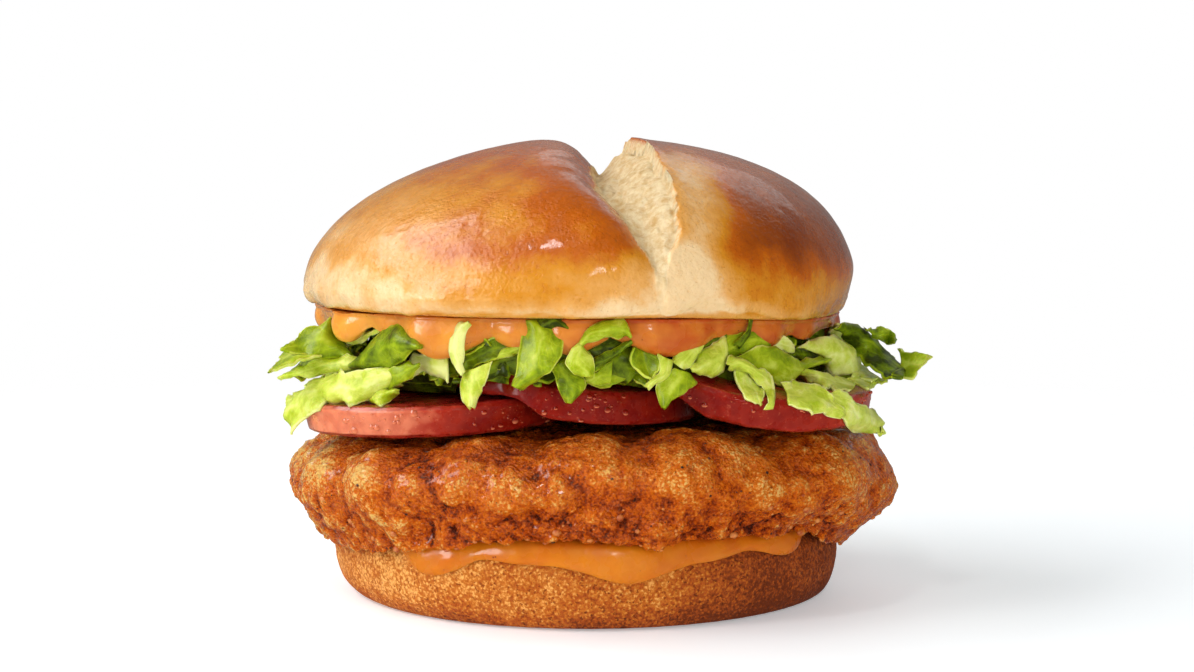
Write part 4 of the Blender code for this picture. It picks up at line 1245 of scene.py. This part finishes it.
class BunLook(bpy.types.PropertyGroup):
    pale: colour_property("Rim", "Barely baked crust at the rim", 243, 208, 156)
    light: colour_property("Light crust", "Crust just above the rim", 230, 167, 88)
    gold: colour_property("Gold crust", "Golden crust", 214, 138, 30)
    orange: colour_property("Orange crust", "Well baked crust", 190, 92, 4)
    brown: colour_property("Brown crust", "Browned crust", 162, 75, 5)
    dark: colour_property("Dark crust", "The most browned crust", 132, 54, 3)
    crumb: colour_property("Crumb", "Torn crumb", 240, 218, 174)
    crumb_shade: colour_property("Crumb pores", "Pores in the torn crumb", 212, 172, 112)
    heel_light: colour_property("Heel light", "Lightest grains of the heel", 246, 178, 94)
    heel_gold: colour_property("Heel gold", "Golden grains of the heel", 196, 112, 32)
    heel_brown: colour_property("Heel brown", "Browned grains of the heel", 168, 76, 18)
    heel_dark: colour_property("Heel dark", "Darkest grains of the heel", 112, 46, 12)
    glaze: FloatProperty(name="Glaze", description="How wet the crown's glaze looks", default=0.6, min=0.0,
                         max=1.0, subtype="FACTOR")


class FilletLook(bpy.types.PropertyGroup):
    crease: colour_property("Creases", "Deepest creases", 74, 18, 4)
    deep: colour_property("Deep crumb", "Crumb beside the creases", 162, 58, 8)
    body: colour_property("Crumb", "Most of the fried crumb", 210, 92, 10)
    gold: colour_property("Gold crumb", "Tops of the lumps", 230, 121, 24)
    cream: colour_property("Cream crumb", "Palest tops", 252, 200, 110)
    glaze: FloatProperty(name="Glaze", description="How wet the fillet looks", default=0.85, min=0.0,
                         max=1.0, subtype="FACTOR")
    crags: FloatProperty(name="Crags", description="How far the crags of crumb stand out", default=0.9 * MM,
                         min=0.0, max=2 * MM, unit="LENGTH", precision=4)


class GardenLook(bpy.types.PropertyGroup):
    skin: colour_property("Tomato skin", "Ripe skin", 126, 13, 6)
    skin_light: colour_property("Lighter skin", "Less ripe skin", 168, 42, 20)
    blush: colour_property("Blush", "Palest skin", 234, 138, 98)
    flesh: colour_property("Flesh", "Cut flesh", 150, 26, 18)
    flesh_pale: colour_property("Pale flesh", "Fibres in the flesh", 190, 64, 44)
    gel: colour_property("Gel", "Wet gel", 96, 8, 10)
    leaf_rib: colour_property("Rib", "Ribs and cut edges", 230, 238, 142)
    leaf_pale: colour_property("Pale leaf", "Leaf beside the ribs", 206, 218, 84)
    leaf_mid: colour_property("Leaf", "Most of the leaf", 166, 184, 22)
    leaf_green: colour_property("Green leaf", "Greenest leaf", 120, 142, 8)
    leaf_dark_and_shade: colour_property("Dark leaf", "Leaf deep in a fold", 54, 66, 4)
    drops: IntProperty(name="Droplets", description="Most droplets on a square metre of skin",
                       default=420000, min=0)


class SauceLook(bpy.types.PropertyGroup):
    upper: colour_property("Upper sauce", "Sauce under the crown", 240, 160, 58)
    upper_shade: colour_property("Upper shade", "Sauce under the crown where it is deep", 188, 74, 14)
    lower: colour_property("Lower sauce", "Sauce on the heel", 214, 124, 20)
    lower_shade: colour_property("Lower shade", "Sauce on the heel where it is deep", 192, 86, 12)


class StudioLook(bpy.types.PropertyGroup):
    key: power_property("Key light", "Power of the wide light above on the left", 8.6)
    side: power_property("Side light", "Power of the low light on the left", 3.0)
    front: power_property("Front light", "Power of the wide light in front", 3.8)
    back: power_property("Back light", "Power of the wide light behind", 0.5)
    rear: power_property("Rear light", "Power of the light that shows the back", 2.4)
    window: power_property("Window light", "Power of the small light that puts the glints on", 0.55)
    pane: power_property("Pane light", "Power of the small light in front that wet places show", 0.35)
    fill: FloatProperty(name="Fill", description="Brightness of the room", default=0.24, min=0.0,
                        subtype="FACTOR")


# What makes each piece

class DressCrown(bpy.types.Operator):
    """Make the crown's glazed crust, with its tear and the crumb inside it"""

    bl_idname = "burger.crown"
    bl_label = "Crown"

    def execute(self, context):
        piece = closed_body("crown_crust", crown_rings())
        tear_open(piece)
        finish(piece, "crust", bun_material(), "crown")
        return {"FINISHED"}


class DressHeel(bpy.types.Operator):
    """Make the heel's sandy crust"""

    bl_idname = "burger.heel"
    bl_label = "Heel"

    def execute(self, context):
        piece = dense_copy("heel", "heel_crust", 3)
        points, normals = read_points(piece), read_normals(piece)
        x, _, z = points.T
        wall = ease(0.6, 3.5, z)
        move = 0.35 * rough_noise(points, 14.0, 2, 3) + 0.06 * lumps(points, 1.6, 9)
        push_out(piece, points, normals, move * wall)
        # Painted light and shade: paler on the left and darker on the right, as the lamps come from the left.
        # It is also paler at the front and darker at its foot.
        bake_light_and_shade = 0.54 - 0.22 * bell(turn_of(points), -8.0, 34.0) + 0.26 * ease(4, 42, x)
        bake_light_and_shade -= 0.3 * ease(-12, -40, x)
        bake_light_and_shade += 0.3 * ease(5.5, 0.5, z) + 0.12 * rough_noise(points, 12.0, 3, 5)
        paint(piece, "bake_light_and_shade", np.clip(bake_light_and_shade, 0, 1))
        finish(piece, "heel_crust", heel_material(), "heel")
        return {"FINISHED"}


class DressFillet(bpy.types.Operator):
    """Make the fried fillet's lumps, crags and creases"""

    bl_idname = "burger.fillet"
    bl_label = "Fillet"

    def execute(self, context):
        look = context.scene.burger_fillet
        piece = dense_copy("patty", "fillet_crumb", 3)
        points, normals = read_points(piece), read_normals(piece)
        x, y, z = points.T
        rim = ease(38, 47, np.hypot(x, y))
        swell = self.swell(points) * rim
        low = ease(25.0, 19.0, z + 1.5 * rough_noise(points, 12.0, 2, 8)) * rim
        bent = points + 1.1 * np.stack([rough_noise(points, 5.0, 2, k) for k in (51, 54, 57)], -1)
        crag = look.crags / MM

        # The rim's big lumps, then crags in three sizes, which are rougher low on the rim
        move = 1.1 * swell - 0.5 * rim + crag * 0.9 * (lumps(bent * (1, 1, 1.2), 7.0, 3) - 0.3)
        move += crag * (0.5 + 0.55 * low) * (lumps(bent, 3.2, 13) - 0.35)
        move += crag * (0.3 + 0.35 * low) * (lumps(bent, 1.6, 23) - 0.35)
        move += 0.3 * rough_noise(points, 2.4, 3, 33)
        move *= 1 - 0.35 * ease(34, 56, x)
        moved = points + normals * move[:, None]
        moved[:, 2] = np.maximum(moved[:, 2], z.min())
        sag = 2.6 * bell(turn_of(points), -46, 24) + 0.8 * rough_noise(points, 9.0, 2, 37)
        moved[:, 2] -= sag * ease(25, 16, z) * ease(50.5, 53.0, np.hypot(x, y))
        write_points(piece, moved)

        # Ridges come out gold and hollows dark, the small ones and the wide ones: the dark hollows are
        # painted shade
        sunk = hollows(piece, moved, 5)
        wide = hollows(piece, moved, 70)
        fry_light_and_shade = 0.46 - 0.9 * sunk - 0.26 * wide + 0.14 * rough_noise(points, 9.0, 3, 43)
        fry_light_and_shade += 0.11 * (swell - 0.9) - 0.03 * low
        # Painted light: paler on the left, high and low, where the lamps fall, and lifted on the right top,
        # where the slices shade it
        fry_light_and_shade += 0.3 * ease(-36, -52, x) * ease(22, 28, z)
        fry_light_and_shade += 0.26 * ease(-14, -38, x) * low + 0.2 * ease(20, 34, x) + 0.06 * ease(-8, -30, x)
        # Cream is let in only on the left, a painted highlight
        paint(piece, "fry_light_and_shade", np.clip(fry_light_and_shade, 0, 0.79 + 0.2 * ease(-22, -44, x)))
        finish(piece, "chicken", fillet_material(), "patty")
        return {"FINISHED"}

    def swell(self, points):
        """How far the rim's big lumps stand out, with creases where one meets the next."""
        rng = np.random.default_rng(SEED + 1)
        hidden = [(turn + rng.uniform(-6, 6), rng.uniform(20, 32), rng.uniform(4.5, 7), rng.uniform(0.9, 2.0))
                  for turn in np.linspace(70, 270, BACK_LUMPS)]
        x, y, z = points.T
        turn = turn_of(points)
        most = np.zeros(len(points))
        for centre, height, width, rise in (*FILLET_LUMPS, *hidden):
            away = np.radians((turn - centre + 180) % 360 - 180) * np.hypot(x, y)
            near = (away / width) ** 2 + ((z - height) / (0.8 * width)) ** 2
            most = np.maximum(most, rise * np.exp(-(near**1.3)))
        return most


class DressTomatoes(bpy.types.Operator):
    """Make the tomato slices' wet skin and cut flesh"""

    bl_idname = "burger.tomatoes"
    bl_label = "Tomato slices"

    def execute(self, context):
        material = tomato_material("Tomato")
        for k, node in enumerate(SLICES):
            piece = dense_copy(node, node + "_slice", 3, crisp=0.75)
            points, normals = read_points(piece), read_normals(piece)
            wall = ease(0.8, 0.5, np.abs(normals[:, 2]))
            move = 0.12 * soft_noise(points, 8.0, k) + (1 - wall) * 0.12 * rough_noise(points, 2.4, 2, k + 4)
            push_out(piece, points, normals, move)
            x = points[:, 0]
            blush = 0.12 + 0.1 * rough_noise(points, 9.0, 2, k + 9)
            # Painted light: the first slice is paler towards its left end, where the lamps on the left fall
            if k == 0:
                blush = blush + 0.75 * ease(-14, -42, x)
            if k == 2:
                blush = blush + 0.35 * ease(38, 52, x)
            paint(piece, "skin", wall)
            paint(piece, "blush", np.clip(blush, 0, 1))
            finish(piece, "tomato", material, node)
        return {"FINISHED"}


class DressLettuce(bpy.types.Operator):
    """Make the heap of lettuce: its core and every leaf that shows"""

    bl_idname = "burger.lettuce"
    bl_label = "Lettuce"

    def execute(self, context):
        material = leaf_material()
        finish(self.core(), "lettuce", material)
        rng = np.random.default_rng(SEED)
        shown = [placed_leaf(*leaf) for leaf in LEAVES]
        leaves = front_leaves(shown) + inner_leaves(shown, rng) + back_leaves(shown, rng)
        parts = [leaf_solid(grid) for grid, _ in leaves]
        tones = [np.full(len(p), tone_and_shade) for (p, _), (_, tone_and_shade) in zip(parts, leaves)]
        offsets = np.cumsum([0] + [len(p) for p, _ in parts[:-1]])
        points = np.vstack([p for p, _ in parts])
        faces = np.vstack([f + offset for (_, f), offset in zip(parts, offsets)])
        piece = new_piece("lettuce_leaves", points, faces.tolist())
        paint(piece, "tone_and_shade", np.concatenate(tones))
        self.unwrap(piece, len(parts))
        finish(piece, "lettuce", material, "lettuce")
        return {"FINISHED"}

    def core(self):
        """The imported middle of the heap, lying on the slices and the fillet."""
        below = [solid_tree(node) for node in (*SLICES, "patty")]
        turn = np.linspace(0, 2 * np.pi, HEAP_CORE_COLUMNS, endpoint=False)
        rings = []
        for radius in np.linspace(3.0, HEAP_CORE_R - 0.8, HEAP_CORE_ROWS):
            x, y = around(radius, turn)
            low = []
            for px, py in zip(x, y):
                hits = [t.ray_cast(Vector((px * MM, py * MM, 0.06)), Vector((0, 0, -1)))[0] for t in below]
                low.append(max(h.z / MM for h in hits if h))
            rings.append(np.stack([x, y, np.array(low) + 0.9], -1))
        outer = rings[-1]
        for share in (0.15, 0.5, 0.85):
            x, y = around(HEAP_CORE_R + 0.9 * np.sin(np.pi * share), turn)
            rings.append(np.stack([x, y, outer[:, 2] + (HEAP_TOP_Z - outer[:, 2]) * share], -1))
        for radius in np.linspace(HEAP_CORE_R - 0.8, 3.0, HEAP_CORE_ROWS):
            x, y = around(radius, turn)
            rings.append(np.stack([x, y, np.full(len(x), HEAP_TOP_Z)], -1))
        piece = closed_body("lettuce_core", np.array(rings))
        points, normals = read_points(piece), read_normals(piece)
        move = 0.7 * rough_noise(points, 5.0, 3, 61) * ease(0.9, 0.2, -normals[:, 2])
        push_out(piece, points, normals, move)
        # Painted shade: the core is painted dark, deep inside the heap
        paint(piece, "tone_and_shade", 0.93 + 0.1 * soft_noise(points, 6.0, 62))
        piece.data.uv_layers.new(name="leaf")
        return piece

    def unwrap(self, piece, count):
        """Lays each leaf out flat, its ribs running along it."""
        s, t = np.meshgrid(np.linspace(0, 1, LEAF_ROWS), np.linspace(0, 1, LEAF_COLUMNS), indexing="ij")
        one = np.stack([s.ravel(), t.ravel()], -1)
        spots = np.tile(one, (2 * count, 1))
        corners = np.empty(len(piece.data.loops), np.int32)
        piece.data.loops.foreach_get("vertex_index", corners)
        layer = piece.data.uv_layers.new(name="leaf")
        layer.data.foreach_set("uv", spots[corners].astype(np.float32).ravel())


class DressSauces(bpy.types.Operator):
    """Make the sauce under the crown and the sauce on the heel"""

    bl_idname = "burger.sauces"
    bl_label = "Sauces"

    def execute(self, context):
        look = context.scene.burger_sauce
        upper = closed_body("sauce_under_crown", self.upper_rings())
        points, normals = read_points(upper), read_normals(upper)
        move = 0.3 * rough_noise(points, 6.0, 2, 71) * ease(40, 46, np.hypot(points[:, 0], points[:, 1]))
        push_out(upper, points, normals, move)
        # Painted shade: darker towards the right, away from the lamps, and at its top, under the crown
        depth = 0.05 + 0.75 * ease(-50, 36, points[:, 0]) + 0.3 * ease(55.4, 56.2, points[:, 2])
        paint(upper, "depth", depth)
        finish(upper, "sauce", sauce_material("Upper sauce", look.upper, look.upper_shade), "sauce_upper")
        lower = dense_copy("sauce_lower", "sauce_on_heel", 3)
        points, normals = read_points(lower), read_normals(lower)
        move = 0.16 * rough_noise(points, 5.0, 2, 81) * ease(41, 46, np.hypot(points[:, 0], points[:, 1]))
        push_out(lower, points, normals, move)
        # Painted shade: darker towards the right, away from the lamps, and at its top, under the fillet
        depth = 0.25 + 0.4 * ease(10, 44, points[:, 0]) + 0.5 * ease(15.2, 16.4, points[:, 2])
        paint(lower, "depth", depth)
        finish(lower, "sauce", sauce_material("Lower sauce", look.lower, look.lower_shade), "sauce_lower")
        return {"FINISHED"}

    def upper_rings(self):
        """Rings of the upper sauce, from the middle of its underside over its rim to its top."""
        turn = np.linspace(-np.pi, np.pi, TOP_SAUCE_COLUMNS, endpoint=False)
        reach = run_reach(TOP_RUNS, turn)
        place = np.stack([9 * turn, 0 * turn, 0 * turn], -1)
        reach = np.maximum(reach + 0.5 * soft_noise(place, 1.3, 5), 0.0)
        full = ease(0.0, 4.5, reach)
        side = ease(0.2, 1.0, -np.sin(turn))
        radius = TOP_SAUCE_R + 0.9 * np.sin(turn) ** 2 + 3.6 * side + 0.5 * np.sin(5 * turn) + 1.5 * full
        low = -TOP_SAUCE_THICK
        end = low - reach
        sections = np.array([
            [radius - 9.0, 0 * turn + low],
            [radius - 3.8 * full - 1.0, low - 0.25 * reach],
            [radius - 2.6 * full - 0.5, low - 0.8 * reach],
            [radius - 0.6 * full, end],
            [radius + 1.1 * full, end + 0.22 * reach + 0.2],
            [radius + 1.5 * full + 0.3, low - 0.35 * reach + 0.7],
            [radius + 0.8 * full + 0.5, 0 * turn - 0.7],
            [radius + 0.3, 0 * turn + 0.25],
            [radius - 9.0, 0 * turn],
        ])
        rings = np.empty((TOP_SAUCE_ROWS, len(turn), 2))
        for j in range(len(turn)):
            rings[:, j] = through(sections[:, :, j], TOP_SAUCE_ROWS)
        inner = [np.stack([np.full(len(turn), r), np.full(len(turn), z)], -1)
                 for r, z in ((4.0, low), (20.0, low))]
        outer = [np.stack([np.full(len(turn), r), np.zeros(len(turn))], -1) for r in (20.0, 4.0)]
        flat = np.concatenate([np.array(inner), rings, np.array(outer)])
        x, y = around(flat[..., 0], turn)
        return np.stack([x, y, TOP_SAUCE_Z + flat[..., 1] - droop(x)], -1)


class StrewBits(bpy.types.Operator):
    """Strew crumbs and pepper on the fillet, specks in the sauces and droplets on the slices"""

    bl_idname = "burger.bits"
    bl_label = "Crumbs and droplets"

    def execute(self, context):
        look = context.scene.burger_garden
        pieces = bpy.data.objects
        fillet = pieces["fillet_crumb"]
        points = read_points(fillet)
        side = ease(12.6, 14.0, points[:, 2])
        crumb = bit_material("Loose crumb", tint(168, 70, 24), tint(226, 142, 66), 0.45)
        pepper = bit_material("Pepper", tint(40, 16, 8), tint(84, 36, 16), 0.5)
        strewn("fillet_crumbs", fillet, side * ease(30, 18, points[:, 2]), crumb, "chicken", Seed=3,
               Most_per_square_metre=60000.0, Smallest=0.2 * MM, Largest=0.95 * MM, Flatness=0.5,
               Roundness=1)
        strewn("fillet_pepper", fillet, side, pepper, "chicken", Seed=7,
               Most_per_square_metre=32000.0, Smallest=0.12 * MM, Largest=0.42 * MM, Flatness=0.5,
               Roundness=1)
        water = water_material()
        for k, node in enumerate(SLICES):
            carrier = pieces[node + "_slice"]
            points, normals = read_points(carrier), read_normals(carrier)
            wall = ease(0.75, 0.5, np.abs(normals[:, 2])) * ease(-5, -15, points[:, 1])
            thick = wall * ease(-0.35, 0.35, soft_noise(points, 11.0, 90 + k))
            strewn("water_on_" + node, carrier, thick, water, "tomato", Seed=13 + k,
                   Most_per_square_metre=float(look.drops), Smallest=0.12 * MM, Largest=0.75 * MM,
                   Flatness=0.6, Roundness=2)
        speck = bit_material("Spice speck", tint(120, 30, 10), tint(170, 60, 20), 0.5)
        for name in ("sauce_under_crown", "sauce_on_heel"):
            carrier = pieces[name]
            points = read_points(carrier)
            rim = ease(44, 46, np.hypot(points[:, 0], points[:, 1]))
            strewn(name + "_specks", carrier, rim, speck, "sauce", Seed=23,
                   Most_per_square_metre=24000.0, Smallest=0.1 * MM, Largest=0.28 * MM,
                   Flatness=0.4, Roundness=1)
        return {"FINISHED"}


class SetStage(bpy.types.Operator):
    """Set the pale floor, the soft lights and the camera"""

    bl_idname = "burger.stage"
    bl_label = "Stage"

    def execute(self, context):
        look = context.scene.burger_studio
        self.floor()
        self.lamps(context, look)
        self.world(context, look.fill)
        self.camera(context)
        context.scene.view_settings.view_transform = "Standard"
        return {"FINISHED"}

    def lamps(self, context, look):
        """Lamps that face the burger. The front and rear ones aren't mirrored in what is wet."""
        # Each lamp's name, place, width and height in metres, roll in degrees and power. The wide
        # ones model the form, the small last two put the glints on what is wet.
        for name, place, wide, high, roll, power in (
            ("key", (-0.745, -0.05, 0.705), 1.1, 0.53, -25.0, look.key),
            ("side", (-0.82, -0.52, 0.27), 0.35, 0.45, 0.0, look.side),
            ("front", (0.4, -0.85, 0.16), 0.9, 0.3, 0.0, look.front),
            ("back", (0.24, 0.72, 0.6), 0.7, 0.3, 0.0, look.back),
            ("rear", (0.3, 0.9, 0.3), 0.9, 0.4, 0.0, look.rear),
            ("window", (-0.2, -0.42, 0.84), 0.07, 0.09, 0.0, look.window),
            ("pane", (0.1, -0.66, 0.4), 0.1, 0.07, 0.0, look.pane),
        ):
            light = bpy.data.lights.new(name, "AREA")
            light.shape = "RECTANGLE"
            light.size, light.size_y, light.energy = wide, high, power
            lamp = bpy.data.objects.new(name, light)
            lamp.location = place
            turned = (Vector(LAMP_AIM) - Vector(place)).to_track_quat("-Z", "Y")
            lamp.rotation_euler = (turned @ Quaternion((0.0, 0.0, 1.0), math.radians(roll))).to_euler()
            lamp.visible_glossy = name not in ("front", "rear")
            context.scene.collection.objects.link(lamp)

    def camera(self, context):
        """The photo's camera, whose middle lies a little right of the burger's."""
        camera = bpy.data.objects.new("camera", bpy.data.cameras.new("camera"))
        camera.location = Vector(EYE) * MM
        camera.rotation_euler = (math.radians(90.0 - LOOK_DOWN), 0.0, 0.0)
        camera.data.sensor_width = SENSOR
        camera.data.lens = SENSOR * PICTURE_LENS / PICTURE_WIDTH
        camera.data.shift_x = 0.5 - PICTURE_MIDDLE / PICTURE_WIDTH
        camera.data.clip_start = 0.01
        context.scene.collection.objects.link(camera)
        context.scene.camera = camera

    def floor(self):
        """A pale floor that fades out into the white room."""
        corners = [(FLOOR_HALF * x, FLOOR_HALF * y, 0) for x, y in ((-1, -1), (1, -1), (1, 1), (-1, 1))]
        floor = new_piece("floor", corners, [(0, 1, 2, 3)], outward=False)
        material, tree, shader = new_material("Pale floor", Emission_Color=(0.9, 0.97, 1.0, 1.0),
                                              Emission_Strength=0.3)
        place = add(tree, "ShaderNodeTexCoord").outputs["Object"]
        far = add(tree, "ShaderNodeVectorMath", {0: place}, operation="LENGTH").outputs["Value"]
        colour = ramp(tree, noise(tree, 60.0), ((0.3, (0.935, 0.96, 0.975)), (0.7, (0.955, 0.975, 0.985))))
        join(tree, shader, Base_Color=colour, Alpha=fitted(tree, far, 0.12, 0.45, 1.0, 0.0),
             Roughness=fitted(tree, noise(tree, 20.0), 0.3, 0.7, 0.55, 0.65))
        floor.data.materials.append(material)
        floor.visible_glossy = False

    def world(self, context, brightness):
        """A room that is white to the camera, dim to the burger and brighter behind it in its gloss."""
        world = bpy.data.worlds.new("white room")
        world.use_nodes = True
        tree = world.node_tree
        path = add(tree, "ShaderNodeLightPath").outputs
        facing = add(tree, "ShaderNodeTexCoord").outputs["Generated"]
        behind = add(tree, "ShaderNodeSeparateXYZ", {0: facing}).outputs[1]
        sheen = fitted(tree, behind, 0.3, 1.0, 0.05, 0.25)
        dim = fitted(tree, path["Is Glossy Ray"], 0.0, 1.0, brightness, sheen)
        level = math_node(tree, "MAXIMUM", dim, path["Is Camera Ray"])
        tree.links.new(level, tree.nodes["Background"].inputs["Strength"])
        tree.nodes["Background"].inputs["Color"].default_value = (1.0, 1.0, 1.0, 1.0)
        context.scene.world = world


LOOKS = (
    ("burger_bun", BunLook, "Bun"),
    ("burger_fillet", FilletLook, "Fillet"),
    ("burger_garden", GardenLook, "Lettuce and tomato"),
    ("burger_sauce", SauceLook, "Sauces"),
    ("burger_studio", StudioLook, "Studio"),
)
STEPS = (DressCrown, DressHeel, DressFillet, DressTomatoes, DressLettuce, DressSauces, StrewBits, SetStage)


class BurgerPanel(bpy.types.Panel):
    """Lists what can be made and what can be changed"""

    bl_idname = "VIEW3D_PT_burger"
    bl_label = "Burger"
    bl_space_type = "VIEW_3D"
    bl_region_type = "UI"
    bl_category = "Burger"

    def draw(self, context):
        for step in STEPS:
            self.layout.operator(step.bl_idname)
        for attribute, group, title in LOOKS:
            box = self.layout.box()
            box.label(text=title)
            for key in group.__annotations__:
                box.prop(getattr(context.scene, attribute), key)


def register():
    for attribute, group, _ in LOOKS:
        bpy.utils.register_class(group)
        setattr(bpy.types.Scene, attribute, PointerProperty(type=group))
    for kind in (*STEPS, BurgerPanel):
        bpy.utils.register_class(kind)


def unregister():
    for kind in reversed((*STEPS, BurgerPanel)):
        bpy.utils.unregister_class(kind)
    for attribute, group, _ in reversed(LOOKS):
        delattr(bpy.types.Scene, attribute)
        bpy.utils.unregister_class(group)


def main():
    register()
    bpy.ops.burger.crown()
    bpy.ops.burger.heel()
    bpy.ops.burger.fillet()
    bpy.ops.burger.tomatoes()
    bpy.ops.burger.lettuce()
    bpy.ops.burger.sauces()
    bpy.ops.burger.bits()
    bpy.ops.burger.stage()


if __name__ == "__main__":
    main()
